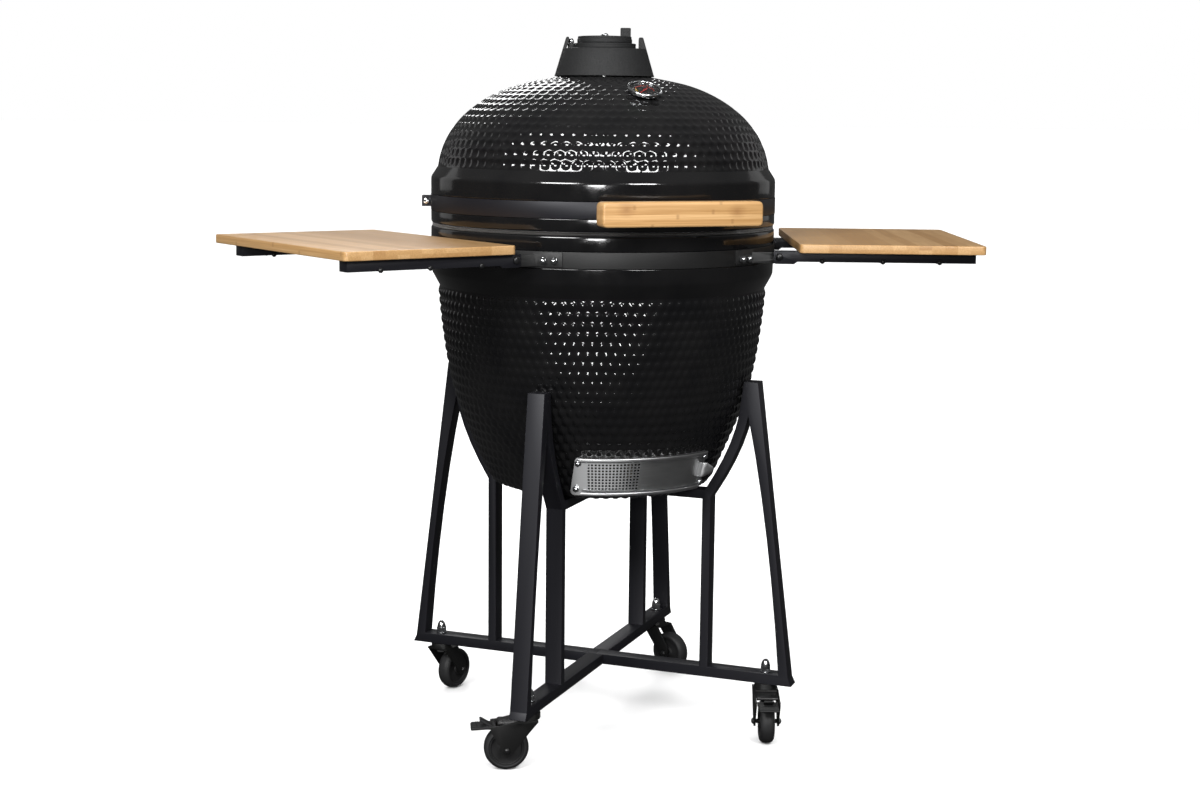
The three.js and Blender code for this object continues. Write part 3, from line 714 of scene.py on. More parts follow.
def without_port(obj):
    with editing(obj.data) as work:
        centres = np.array([face.calc_center_median() for face in work.faces])
        gone = [face for face, hit in zip(work.faces, in_port(centres)) if hit]
        bmesh.ops.delete(work, geom=gone, context="FACES")
    return obj


def ceramic_lid():
    low = radii("ceramic_lid")[2]
    outline = chain("ceramic_lid", 180, (0.300, low))
    start = next(i for i, (r, z) in enumerate(outline) if z > low + 0.09 and r < 0.2895)
    top = min(range(start, len(outline)), key=lambda i: abs(outline[i][0] - 0.079))
    dome = outline[start:top + 1]
    shell = dimpled_shell("lid_dome", dome, 0.0180, 0.0158, 0.0023, 0.010, 0.332, 6, 4)
    rest = outline[top:] + outline[:start + 1]
    lining = revolved("lid_rims", filleted(rest, 0.004, 4, closed=False), 200, closed=False)
    lid = joined("lid_ceramic", [shell, lining])
    weld(lid)
    stand_for(lid, "ceramic_lid")


def ceramic_base():
    low = radii("ceramic_base")[2]
    outline = chain("ceramic_base", 180 + STAND_TURN, (0.0, low))
    if outline[1][0] < 0.05:
        outline = outline[::-1]
    foot = next(i for i, (r, z) in enumerate(outline) if r > 0.13)
    shoulder = next(i for i, (r, z) in enumerate(outline) if z > 0.78)
    wall = outline[foot:shoulder + 1]
    shell = dimpled_shell("bowl_wall", wall[::-1], 0.0162, 0.0166, 0.0029, 0.012, 0.41, 22, 7, skip=in_port)
    rest = outline[shoulder:]
    lining = without_port(revolved("bowl_rims", filleted(rest, 0.004, 4, closed=False), 200, closed=False))
    floor = revolved("bowl_foot", outline[:foot + 1], 200, closed=False)
    bowl = joined("bowl_ceramic", [shell, lining, floor])
    weld(bowl)
    stand_for(bowl, "ceramic_base")


def weld(obj):
    """Closes the seams between the parts of a ceramic shell."""
    with editing(obj.data) as work:
        bmesh.ops.remove_doubles(work, verts=work.verts, dist=2e-5)
        bmesh.ops.recalc_face_normals(work, faces=work.faces)
    smooth(obj, 50)


def ring_piece(node, fillet):
    inner, outer, low, high = radii(node)
    outline = filleted([(inner, low), (outer, low), (outer, high), (inner, high)], fillet)
    stand_for(revolved(node + "_ring", outline, 200), node)


def inner_ceramics():
    for node in ("fire_ring", "fire_box"):
        low = radii(node)[2]
        points, _ = meridian(node, 180 + STAND_TURN)
        outer = max((p for p in points if p[1] < low + 0.001), key=lambda p: p[0])
        outline = chain(node, 180 + STAND_TURN, outer)
        obj = revolved(node + "_ceramic", filleted(outline, 0.004, 3), 128)
        if node == "fire_box":
            inlet_cut(obj)
        stand_for(obj, node)


def inlet_cut(obj):
    """The air inlet through the fire box, in line with the draft port."""
    bpy.ops.mesh.primitive_cube_add(size=1)
    tool = bpy.context.object
    size = Matrix.Diagonal((0.13, 0.064, 0.044, 1))
    tool.data.transform(about(PORT_AZIMUTH) @ shift(0.165, 0, 0.478) @ size)
    modified(obj, "BOOLEAN", operation="DIFFERENCE", solver="EXACT", object=tool)
    bpy.data.objects.remove(tool)
    smooth(obj, 35)


def grates():
    rim_r = radii("cooking_grate")[1]
    rod, gauge, pitch = 0.0025, 0.0034, 0.0150     # radius of a rod, radius of the rim, rod to rod
    middle = AXIS + Vector((0, 0, sum(levels("cooking_grate")) / 2))
    turns = np.linspace(0, 2 * pi, 97)[:-1]
    rim = [middle + Vector((cos(a), sin(a), 0)) * (rim_r - gauge) for a in turns]
    parts = [tube("rim", rim, gauge, 12, True)]
    turn = Matrix.Rotation(radians(STAND_TURN), 3, "Z")

    def chord(name, aside, crossing, drop, radius):
        """A rod across the rim, so far aside; a crossing one runs the other way."""
        reach = sqrt((rim_r - gauge) ** 2 - aside * aside)
        ends = [(end, aside, 0) if crossing else (aside, end, 0) for end in (-reach, reach)]
        points = [middle + turn @ Vector(end) - Vector((0, 0, drop)) for end in ends]
        parts.append(tube(name, points, radius, 8))

    count = int((rim_r - 0.012) / pitch)
    for i in range(-count, count + 1):
        chord("rod", i * pitch, False, 0, rod)
    for aside in (-0.11, 0.11):
        chord("brace", aside, True, rod * 0.9, rod * 0.9)
    stand_for(joined("cooking_grate_rods", parts), "cooking_grate")

    # the charcoal grate: three rings of slots round a hole
    outlines = [circle(radii("charcoal_grate")[1], 96)]
    slot_length, web = 0.032, 0.0065
    for ring, (inner, count) in enumerate(((0.030, 6), (0.072, 12), (0.114, 18))):
        for i in range(count):
            middle = 360 / count * (i + 0.5 * (ring % 2))
            half = 180 / count - degrees(web / inner) / 2
            outlines.append(circle(inner + slot_length, 6, start=middle - half, end=middle + half)
                            + circle(inner, 6, start=middle + half, end=middle - half))
    outlines.append(circle(0.016, 24))
    grate = plate("charcoal_grate_casting", outlines, *levels("charcoal_grate"), 0.0012,
                  Matrix.Translation(AXIS))
    stand_for(grate, "charcoal_grate")


# ---------------------------------------------------------------- draft door
def draft_cone():
    """The door's cone: radius at a height, from the back plate's own corners."""
    inner = profile("draft_mesh")
    bottom, top = levels("draft_mesh")
    low = max(p for p in inner if p[1] < bottom + 1e-4)
    high = max(p for p in inner if p[1] > top - 1e-4)
    slope = (high[0] - low[0]) / (high[1] - low[1])
    return lambda z: low[0] + 0.0016 + slope * (z - low[1])


def cone_point(cone, azimuth, z, offset):
    r = cone(z) + offset
    a = radians(azimuth)
    return (AXIS.x + r * sin(a), AXIS.y - r * cos(a), z)


def cone_sheet(name, cone, columns, z_of, lanes, offset, thickness, hole=None, lean=0.0):
    """A curved sheet: columns are azimuths, lanes are shares of the height, and cells for which
    hole(column, lane) is true are left open. Lean narrows the sheet towards its top."""
    verts = []
    for azimuth in columns:
        low, high = z_of(azimuth)
        verts += [cone_point(cone, azimuth * (1 - lean * (lane - 0.2)), low + lane * (high - low), offset)
                  for lane in lanes]
    obj = new_object(name, verts, grid(len(columns), len(lanes), hole=hole))
    with editing(obj.data) as work:
        loose = [v for v in work.verts if not v.link_faces]
        bmesh.ops.delete(work, geom=loose, context="VERTS")
    modified(obj, "SOLIDIFY", thickness=thickness, offset=0)
    smooth(obj, 40)
    return obj


def spread(start, end, count):
    return [start + (end - start) * i / count for i in range(count + 1)]


def holes_and_bars(start, end, count):
    """Edges of evenly spaced holes, each taking its share of a pitch."""
    share = 0.6
    pitch = (end - start) / (count - 1 + share)
    return [start + pitch * (i // 2) + (share * pitch if i % 2 else 0) for i in range(2 * count)]


def quarter(r, height):
    """The outline of a dome, from its edge up to its top."""
    return [(r * cos(a), height * sin(a)) for a in spread(0, pi / 2, 8)][:-1] + [(0, height)]


def acorn_nut(name, place, r=0.0055, height=0.008):
    """A hexagon nut with a domed top, along +Z of its place."""
    hexagon = [(r * 1.08 * cos(radians(60 * i)), r * 1.08 * sin(radians(60 * i))) for i in range(6)]
    base = plate(name + "_hex", [hexagon], 0, height * 0.45, r * 0.12)
    dome_r, skirt, seat = r * 0.92, height * 0.2, height * 0.40
    dome = [(x, seat + z) for x, z in quarter(dome_r, height * 0.60)[:-1]]
    cap = [(0, skirt), (dome_r, skirt), *dome, (0, height)]
    cap = revolved(name + "_dome", cap, 32, False, Matrix.Identity(4))
    nut = joined(name, [base, cap])
    nut.data.transform(place)
    smooth(nut, 40)
    return nut


DOOR_HALF, TRACK_HALF, NUT_AZIMUTH = 34.0, 29.5, 31.9     # degrees each side of the door's middle
WINDOW = (-27.5, -3.5)           # degrees; the opening in the back plate
SCREEN = (-28.5, -3.0)           # degrees; the perforated screen
SCREEN_HOLES = (15, 9)           # columns and rows


def draft_assembly():
    cone = draft_cone()
    low, high = levels("draft_frame")
    corner = 0.007

    def rounded_height(azimuth):
        into = (DOOR_HALF - abs(azimuth)) * radians(1) * cone((low + high) / 2)
        drop = corner - sqrt(max(corner ** 2 - max(corner - into, 0) ** 2, 0)) if into < corner else 0
        return low + drop, high - drop

    edge = [DOOR_HALF - step for step in (0, 0.15, 0.45, 0.9, 1.4, 1.9, 2.6, 4.0)]
    columns = sorted({-e for e in edge} | set(edge) | set(spread(*WINDOW, 12)) | set(spread(-3.5, 30, 16)))
    lanes = [0, 0.12, 0.5, 0.90, 1]

    def in_window(i, k):
        return WINDOW[0] < (columns[i] + columns[i + 1]) / 2 < WINDOW[1] and k in (1, 2)

    back = cone_sheet("back", cone, columns, rounded_height, lanes, -0.0038, 0.0012, in_window, lean=0.085)

    def track(name, outline):
        section = filleted(outline, 0.0006, 2)
        places = [lambda p, a=a: cone_point(cone, a, p[1], p[0]) for a in spread(-TRACK_HALF, TRACK_HALF, 60)]
        return swept(name, section, places)

    def lip(r, z, bulge, half, steps):
        """The rolled front of a track, from its top down."""
        return [(r + bulge * sin(a), z + half * cos(a)) for a in spread(0, pi, steps)]

    foot, sheet = -0.0040, 0.0016      # where a track meets the back plate, and its thickness
    top = track("top_track", [(foot, high - sheet), (0.0036, high - sheet), (0.0036, high - 0.0080),
                              *lip(0.0040, high - 0.0040, 0.0026, 0.0040, 10)[::-1], (foot, high)])
    bottom = track("bottom_track", [(foot, low), *lip(0.0034, low + 0.0032, 0.0022, 0.0032, 8)[::-1],
                                    (0.0030, low + 0.0064), (0.0030, low + sheet), (foot, low + sheet)])
    duct = modified(new_object("duct", *duct_walls(cone)), "SOLIDIFY", thickness=0.0015)
    dress(duct, MATERIALS["cast_iron"])
    for piece in (back, top, bottom):
        dress(piece, MATERIALS["stainless"])
    stand_for(joined("draft_frame_plate", [back, top, bottom, duct]), "draft_frame")
    for side, azimuth in (("left", -NUT_AZIMUTH), ("right", NUT_AZIMUTH)):
        for level, z, lean in (("lower", low + 0.011, 1.0), ("upper", high - 0.011, 0.95)):
            out = about(azimuth * lean) @ shift(cone(z) - 0.0032, 0, z)
            nut = acorn_nut(f"draft_nut_{side}_{level}", out @ TO_X)
            extra(nut, "draft_frame", MATERIALS["chrome"])

    # perforated screen: every second cell of its middle is a hole
    wide, tall = SCREEN_HOLES
    columns = [SCREEN[0]] + holes_and_bars(-26.4, -3.9, wide) + [SCREEN[1]]
    lanes = [0] + holes_and_bars(0.135, 0.865, tall) + [1]
    screen = cone_sheet("draft_screen", cone, columns, lambda a: levels("draft_mesh"), lanes, -0.0022, 0.0010,
                        hole=lambda i, k: i % 2 == 1 and k % 2 == 1 and i < 2 * wide and k < 2 * tall)
    screen.data.shade_flat()
    stand_for(screen, "draft_mesh")

    door = cone_sheet("panel", cone, spread(-4, 28.5, 34), lambda a: levels("draft_door"), spread(0, 1, 4),
                      -0.0006, 0.0013)
    stand_for(joined("draft_door_panel", [door, door_tab(cone, 27.3)]), "draft_door")


def duct_walls(cone):
    """The rectangular throat behind the screen, open at both ends."""
    gap, start = 0.0025, 0.186       # the duct is this much smaller than the port; its inner end
    low, high = PORT_LOW + gap, PORT_HIGH - gap
    ends = [(y, z) for y, z in rectangle(2 * (PORT_HALF - gap), high - low)]
    middle = (low + high) / 2
    place = about(PORT_AZIMUTH)
    verts = [place @ Vector((start, y, middle + z)) for y, z in ends]
    verts += [place @ Vector((cone(middle + z) - 0.0085, y, middle + z)) for y, z in ends]
    return verts, [(i, (i + 1) % 4, (i + 1) % 4 + 4, i + 4) for i in range(4)]


def door_tab(cone, azimuth):
    """A bent finger tab with rounded corners, standing out of the door's end."""
    low, high = 0.4705, 0.4955
    path = [(0.0, 0.0), (0.008, 0.0), (0.0115, 0.0012), (0.0140, 0.0045), (0.0230, 0.0150)]
    lanes = spread(0, 1, 8)
    verts = []
    for share, (x, y) in zip((0, 0.3, 0.45, 0.6, 1.0), path):
        for lane in lanes:
            trim = 0.004 * max(0, share - 0.6) / 0.4
            z = low + trim + lane * (high - low - 2 * trim)
            round_off = 1 - 0.28 * abs(2 * lane - 1) ** 3 * (share > 0.9)
            verts.append(about(azimuth) @ Vector((cone(z) - 0.0006 + x * round_off, y * round_off, z)))
    tab = new_object("tab", verts, grid(len(path), len(lanes)))
    return bevelled(modified(tab, "SOLIDIFY", thickness=0.0016, offset=0), 0.0003, 2, 40)


# ---------------------------------------------------------------- casters
def casters():
    for corner in CORNERS:
        swivel = Vector(JOINTS["swivel_" + corner]["pos_m"])
        low, high = levels("caster_bolt_" + corner)
        seat, head, stud, washer_r, washer_high = high - 0.0235, low + 0.0047, 0.0058, 0.0098, 0.0016
        upright = shift(swivel.x, swivel.y, 0)
        shank = [(0, low), (0.009, low), (0.009, head), (stud, head), (stud, seat), (0, seat)]
        shank = revolved("shank", filleted(shank, 0.0006, 2, closed=False), 32, False, upright)
        washer = [(0.0055, seat), (washer_r, seat), (washer_r, seat + washer_high),
                  (0.0055, seat + washer_high)]
        washer = revolved("washer", filleted(washer, 0.0004, 2), 40, True, upright)
        nut = acorn_nut("nut", upright @ shift(0, 0, seat + washer_high), 0.0086, 0.0218)
        stand_for(joined(f"caster_bolt_{corner}_nut", [shank, washer, nut]), "caster_bolt_" + corner)
        softened("caster_fork_" + corner, 0.0009, 3)
        caster_wheel(corner)
    for corner in ("front_left", "front_right"):
        brake_pedal(corner)


def caster_wheel(corner):
    joint = JOINTS["roll_" + corner]
    centre, axis = Vector(joint["pos_m"]), Vector(joint["axis"])
    place = Matrix.Translation(centre) @ axis.to_track_quat("Z", "Y").to_matrix().to_4x4()
    r, half = centre.z, 0.0125
    tyre = mirrored([(0.0285, -half + 0.002), (0.0300, -half), (r - 0.006, -half),
                     (r - 0.0022, -half + 0.0022), (r, -half + 0.0075)])
    hub = mirrored([(0.0046, -half + 0.0005), (0.0100, -half + 0.0005), (0.0112, -half + 0.0035),
                    (0.0250, -half + 0.0045), (0.0262, -half + 0.0015), (0.0286, -half + 0.0015)])
    tread = dress(revolved("tyre", filleted(tyre, 0.002, 3), 72, True, place), MATERIALS["wheel_rubber"])
    middle = dress(revolved("hub", filleted(hub, 0.0008, 2), 72, True, place), HUB_BLACK)
    wheel = joined(f"caster_wheel_{corner}_tyre", [tread, middle])
    smooth(wheel, 40)
    stand_for(wheel, "caster_wheel_" + corner)
    # bolt ends on the fork's cheeks
    ends = [acorn_nut("end", place @ turn @ shift(0, 0, 0.0220), 0.0050, 0.0045)
            for turn in (Matrix.Rotation(pi, 4, "X"), Matrix.Identity(4))]
    extra(joined(f"caster_axle_{corner}_ends", ends), "caster_fork_" + corner, MATERIALS["caster_steel"])


def brake_pedal(corner):
    """A lever with grip ribs and a raised release tab, and the spring plate under the fork's crown."""
    joint = JOINTS[f"pedal_{corner}_press"]
    swivel, pivot = Vector(JOINTS["swivel_" + corner]["pos_m"]), Vector(joint["pos_m"])
    out = Vector((pivot.x - swivel.x, pivot.y - swivel.y, 0)).normalized()
    up = Vector((0, 0, 1))
    place = own_space(pivot, out, up, out.cross(up))

    def across(name, outline, half, fillet=0.0015):
        return plate(name, [filleted(outline, fillet, 4)], -half, half, 0.0009, place)

    lever = across("lever", [(-0.002, 0.002), (0.012, 0.0038), (0.038, 0.0018), (0.040, -0.0005),
                             (0.038, -0.0025), (0.011, -0.0012), (-0.002, -0.0025)], 0.0170)
    release = across("release", [(0.002, 0.002), (0.008, 0.001), (0.0245, 0.0105), (0.0250, 0.0130),
                                 (0.0225, 0.0140)], 0.0085)
    barrel = filleted(mirrored([(0, -0.018), (0.004, -0.018)]), 0.0008, 2, closed=False)
    barrel = revolved("barrel", barrel, 32, False, place)
    slope, rib_half, rib_r = 0.078, 0.0155, 0.0009
    ribs = [tube("rib", [place @ Vector((x, 0.0040 - slope * (x - 0.012), z)) for z in (-rib_half, rib_half)],
                 rib_r, 8) for x in (0.0275, 0.0303, 0.0331, 0.0359)]
    stand_for(joined(f"brake_lever_{corner}", [lever, release, barrel] + ribs), "brake_pedal_" + corner)
    blade = [(-0.052, 0.0098), (-0.006, 0.0098), (-0.0045, 0.0070), (-0.0065, 0.0042), (-0.024, 0.0050),
             (-0.052, 0.0082)]
    extra(across(f"brake_spring_{corner}", blade, 0.0186), "caster_fork_" + corner, MATERIALS["caster_steel"])


# ---------------------------------------------------------------- thermometer
def thermometer():
    joint = JOINTS["gauge_needle_turn"]
    back, out = Vector(joint["pos_m"]), Vector(joint["axis"]).normalized()
    across = Vector((1, 0, 0))
    place = own_space(back, across, out.cross(across), out)
    r, stem_end = 0.0295, -0.060
    face_r, face_low, face_high = r - 0.0040, 0.0038, 0.0042
    print_high, print_bevel = 0.0045, 0.00005
    case = [(0, stem_end), (0.0040, stem_end), (0.0045, stem_end + 0.003), (0.0045, 0.0006),
            (r - 0.004, 0.0006), (r - 0.0012, 0.0018), (r - 0.0002, 0.0042), (r, 0.0072),
            (r - 0.0008, 0.0088), (r - 0.0022, 0.0092), (r - 0.0034, 0.0082), (r - 0.0038, 0.0050),
            (r - 0.0040, 0.0036), (0, 0.0036)]
    case = revolved("thermometer_bezel", filleted(case, 0.0006, 3, closed=False), 96, False, place)
    stand_for(case, "thermometer_case")
    face = [(0, face_low), (face_r, face_low), (face_r, face_high), (0, face_high)]
    extra(revolved("thermometer_dial", face, 96, False, place), "thermometer_case", DIAL_BLACK)

    def arc(name, start, end, material):
        outline = circle(0.0163, 24, start=start, end=end) + circle(0.0146, 24, start=end, end=start)
        extra(plate(name, [outline], face_high, print_high, print_bevel, place), "thermometer_case", material)

    arc("dial_band_warm", 202, 160, DIAL_YELLOW)
    arc("dial_band_hot", 158, -20, DIAL_RED)
    ticks = []
    for i in range(28):
        angle = radians(225 - 10 * i)
        inner, width = (0.0178, 0.0005) if i % 3 == 0 else (0.0192, 0.0003)
        side = Vector((-sin(angle), cos(angle))) * width / 2
        start, end = (Vector((cos(angle), sin(angle))) * reach for reach in (inner, 0.0212))
        ticks.append(plate("tick", [[start - side, end - side, end + side, start + side]],
                           face_high, print_high, print_bevel, place))
    extra(joined("dial_ticks", ticks), "thermometer_case", DIAL_WHITE)
    softened("thermometer_needle", 0.00012, 2)
    lens = [(0, 0.0064), (r - 0.0042, 0.0060), (r - 0.0042, 0.0066), (0, 0.0074)]
    stand_for(revolved("thermometer_glass", lens, 96, False, place, 80), "thermometer_lens")


# ---------------------------------------------------------------- top vent
PETALS = [72 * i for i in range(5)]   # degrees from the pivot; five openings


def vent_collar():
    rings = profile("vent_collar")
    low, seat = levels("vent_collar")
    foot_r = max(r for r, z in rings if z < low + 1e-4)
    seat_r = max(r for r, z in rings if z > seat - 1e-4)
    slope = (foot_r - seat_r) / (seat - low)
    high, wall = levels("vent_lug_far")[1], 0.005
    lug = JOINTS["vent_slide_swing"]["pos_m"]
    lug_turn = degrees(atan2(lug[1] - AXIS.y, lug[0] - AXIS.x))

    def outer(z):
        return foot_r - slope * (z - low)

    ring = [(outer(low) - wall, low), (outer(low) + 0.0004, low), (outer(low + 0.003), low + 0.003),
            (outer(seat), seat), (outer(seat) - wall, seat)]
    ring = revolved("ring", filleted(ring, 0.0010, 3), 160)
    deck_r, deck_low, deck_high, mouth_r = outer(seat) - 0.002, seat - 0.006, seat - 0.0004, 0.046
    deck = [(mouth_r, deck_low), (deck_r, deck_low), (deck_r, deck_high), (mouth_r, deck_high)]
    deck = revolved("deck", filleted(deck, 0.0012, 3), 128)
    root, half, round_off = seat - 0.004, 8.6, 2.6
    outside = [(outer(root), root), (outer(high), high)]
    pivot_side = [(outer(root) - wall, root), *outside, (outer(high) - wall, high)]
    upright = outer(high) - wall - 0.0022
    far_side = [(upright, root), *outside, (upright, high)]
    parts = [ring, deck]
    for middle, section in ((lug_turn, pivot_side), (lug_turn + 180, far_side)):
        places = []
        for step in spread(-half, half, 24):
            # the two upper corners of a lug are rounded off
            inset = max(abs(step) - (half - round_off), 0) / round_off
            top = high - 0.0040 * (1 - sqrt(1 - min(inset, 0.995) ** 2))
            c, sine = cos(radians(middle + step)), sin(radians(middle + step))
            squeeze = (top - root) / (high - root)
            places.append(lambda p, c=c, sine=sine, squeeze=squeeze: (
                AXIS.x + p[0] * c, AXIS.y + p[0] * sine, root + (p[1] - root) * squeeze))
        parts.append(swept("lug", filleted(section, 0.0022, 4), places, sharp=50))
    stand_for(joined("vent_collar_casting", parts), "vent_collar", "vent_lug_pivot", "vent_lug_far")
    return lug_turn


def vent_top():
    lug_turn = vent_collar()
    low, high = levels("vent_slide_disc")
    pivot = Vector(JOINTS["vent_slide_swing"]["pos_m"])
    reach = hypot(pivot.x - AXIS.x, pivot.y - AXIS.y)
    turned_to = Matrix.Translation(AXIS) @ Matrix.Rotation(radians(lug_turn), 4, "Z")
    disc_r, ear, bolt_r, petal_r, petals_at = 0.054, 0.006, 0.0043, 0.009, 0.028
    join_angle = degrees(asin(ear / disc_r))
    edge = circle(disc_r, 120, start=join_angle, end=360 - join_angle)
    edge += circle(ear, 12, x=reach, start=-90, end=90)
    petals = [circle(petal_r, 28, x=petals_at * cos(radians(a)), y=petals_at * sin(radians(a)))
              for a in PETALS]
    disc = plate("disc", [edge, circle(bolt_r, 20), circle(bolt_r, 20, x=reach)] + petals, low, high, 0.0010,
                 turned_to)
    lip_r = disc_r + 0.0003
    lip = [(disc_r - 0.004, high - 0.002), (lip_r, high - 0.0030), (lip_r, high - 0.0008),
           (disc_r - 0.004, high)]
    lip = revolved("lip", filleted(lip, 0.0006, 2), 120)
    stand_for(joined("vent_slide_casting", [disc, lip]), "vent_slide_disc")

    low, tab_high = levels("daisy_wheel")
    high = low + 0.0116
    cap_r = 0.0475
    top = plate("cap_top", [circle(cap_r - 0.001, 96), circle(bolt_r, 20)] + petals, high - 0.005, high,
                0.0012, turned_to)
    skirt = [(cap_r - 0.0045, low), (cap_r - 0.0008, low), (cap_r, low + 0.0012), (cap_r, high - 0.0046),
             (cap_r - 0.0012, high - 0.0040), (cap_r - 0.0012, high - 0.0010),
             (cap_r - 0.0045, high - 0.0010)]
    skirt = revolved("cap_skirt", filleted(skirt, 0.0007, 3), 128)
    tab = [(-0.045, high - 0.003), (-0.027, high - 0.003), (-0.027, tab_high), (-0.045, tab_high)]
    tab = plate("cap_tab", [filleted(tab, 0.002, 4)], -0.0022, 0.0022, 0.0008)
    tab.data.transform(turned_to @ shift(0, 0.005, 0) @ ON_EDGE)
    stand_for(joined("daisy_casting", [top, skirt, tab]), "daisy_wheel")

    stud = solid_rod("stud", 0.0038, high - 0.017, high)
    nut = acorn_nut("cap_nut", shift(AXIS.x, AXIS.y, high + 0.0002), 0.0068, 0.0060)
    stand_for(joined("daisy_acorn", [stud, nut]), "daisy_nut")
    low, high = levels("vent_pivot_bolt")
    nut_high = 0.0085
    shank = solid_rod("shank", 0.0038, low, high - nut_high, shift(pivot.x, pivot.y, 0))
    nut = acorn_nut("pivot_nut", shift(pivot.x, pivot.y, high - nut_high), 0.0050, nut_high)
    stand_for(joined("vent_pivot_acorn", [shank, nut]), "vent_pivot_bolt")


# ---------------------------------------------------------------- hinge, handle and shelves
def hinge():
    for node in ("hinge_base_bracket", "hinge_lid_bracket"):
        softened(node, 0.0011, 3)
    joint = Vector(JOINTS["lid_hinge"]["pos_m"])
    low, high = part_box("hinge_pin")
    half, pin_r, head_r, head = (high.x - low.x) / 2, 0.006, 0.0095, 0.006
    pin = mirrored([(0, -half), (head_r, -half), (head_r, head - half), (pin_r, head - half)])
    pin = revolved("hinge_pin_turned", filleted(pin, 0.0009, 3, closed=False), 48, False,
                   Matrix.Translation(joint) @ TO_X)
    stand_for(pin, "hinge_pin")
    wire, turns = 0.0017, 6
    for side in ("left", "right"):
        node = "hinge_spring_" + side
        low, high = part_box(node)
        radius = (high.z - low.z) / 2 - wire
        start, end = low.x + wire, high.x - wire
        shares = spread(0, 1, turns * 24)
        points = [(start + (end - start) * share, joint.y + radius * cos(2 * pi * turns * share),
                   joint.z + radius * sin(2 * pi * turns * share)) for share in shares]
        stand_for(tube(f"{node}_coil", points, wire, 10), node)


def handle():
    low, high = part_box("handle_bar")
    length, depth, height = high - low
    outline = filleted(rectangle(length, height), 0.009, 8)
    bar = plate("handle_bamboo", [outline], -depth / 2, depth / 2, 0.0035)
    bar.data.transform(ON_EDGE)
    bar.matrix_world = Matrix.Translation((low + high) / 2)
    knots = [(-0.36 * length, 0.2 * height), (0.33 * length, 0.1 * height)]
    dress(bar, bamboo_material("handle_bamboo", 0.0135, 0, 1.16, knots))
    stand_for(bar, "handle_bar")
    for side in ("left", "right"):
        softened("handle_bracket_" + side, 0.001, 2)


def shelves():
    for side, ends in SHELF_ENDS.items():
        mount = next(m for m in frame["record"]["mounts"] if m["name"] == f"shelf_{side}_top")
        axis = Vector(JOINTS[f"shelf_{side}_fold"]["axis"])
        out = Vector((axis.y, -axis.x, 0)).normalized()
        centre = Vector(mount["pos_m"])
        low, high = levels("shelf_board_" + side)
        board = corners("shelf_board_" + side)
        (a, b), (c, d) = span(board, out), span(board, axis)
        outline = filleted(rectangle(b - a, d - c), 0.009, 8)
        board = plate(f"shelf_{side}_bamboo", [outline], low - high, 0, 0.0016)
        board.matrix_world = own_space(Vector((centre.x, centre.y, high)), out, axis, Vector((0, 0, 1)))
        stand_for(board, "shelf_board_" + side)
        for end in ends:
            softened(f"shelf_arm_{side}_{end}", 0.0008, 2)
            softened(f"shelf_bracket_{side}_{end}", 0.0011, 2, material=BRACKET_GREY)
            arm_screws(side, end, axis, out)
            bracket_fixings(side, end, axis)


def span(points, direction):
    """The least and greatest reach of points along a direction."""
    reach = [point.dot(direction) for point in points]
    return min(reach), max(reach)


def arm_screws(side, end, axis, out):
    """Round screw heads on both cheeks of each arm, which hold the board."""
    arm = f"shelf_arm_{side}_{end}"
    start, stop = span(corners(arm), axis)
    near, far = span(corners(arm), out)
    level = Vector((0, 0, levels(arm)[0] + 0.0055))
    heads = [domed_bolt(axis * edge + out * (near + share * (far - near)) + level, facing, 0.0042, 0.0026)
             for share in (0.24, 0.54, 0.82) for edge, facing in ((stop, axis), (start, -axis))]
    extra(joined(f"shelf_screws_{side}_{end}", heads), arm, MATERIALS["caster_steel"])


def domed_bolt(spot, facing, r, height):
    """A black domed bolt head on a face that looks along facing."""
    place = Matrix.Translation(spot) @ facing.to_track_quat("Z", "Y").to_matrix().to_4x4()
    sunk = -0.001
    return revolved("head", [(0, sunk), (r, sunk), *quarter(r, height)], 32, False, place)


def bracket_fixings(side, end, axis):
    """Two bright nuts through each bracket's flange, and the black pivot bolt through its arm."""
    joint = Vector(JOINTS[f"shelf_{side}_fold"]["pos_m"])
    start, stop = span(corners(f"shelf_arm_{side}_{end}"), axis)
    bracket = f"shelf_bracket_{side}_{end}"
    band_r = radii("base_band")[1]
    hugging = [v - AXIS for v in corners(bracket) if band_r < (v - AXIS).xy.length < band_r + 0.0034]
    azimuths = [degrees(atan2(v.x, -v.y)) for v in hugging]
    from_front = min(azimuths, key=abs)
    away = 1 if max(azimuths, key=abs) > 0 else -1
    level = sum(v.z for v in hugging) / len(hugging)
    seat = shift(band_r + 0.0033, 0, level) @ TO_X
    nuts = [acorn_nut("nut", about(from_front + away * step) @ seat, 0.0059, 0.0095) for step in (2.4, 5.8)]
    extra(joined(f"bracket_nuts_{side}_{end}", nuts), bracket, MATERIALS["chrome"])
    bolts = [domed_bolt(joint + axis * (edge - joint.dot(axis)), facing, 0.0062, 0.0028)
             for edge, facing in ((stop, axis), (start, -axis))]
    extra(joined(f"shelf_pivots_{side}_{end}", bolts), bracket, MATERIALS["caster_steel"])


# ---------------------------------------------------------------- stage
SOFTBOXES = {    # azimuth, distance, height, size, watts, and the height aimed at
    "front_left": (-50, 3.6, 2.6, (1.5, 0.8), 110, 0.8),
    "front_right": (5, 3.6, 2.6, (1.15, 0.8), 85, 0.8),
    "front_small": (-25, 4.4, 1.35, (0.8, 0.6), 52, 0.8),
    "side_left": (-145, 3.4, 1.6, (1.2, 1.8), 2.2, 0.8),
    "side_right": (110, 3.4, 1.6, (1.2, 1.8), 1.8, 0.8),
    "rear": (172, 3.2, 3.0, (1.6, 1.0), 34, 0.8),
    "overhead": (-55, 1.2, 4.4, (1.6, 1.6), 34, 0.8),
    "floor_bounce": (-24, 0.85, 0.06, (0.7, 0.6), 1.1, 0.48),
}


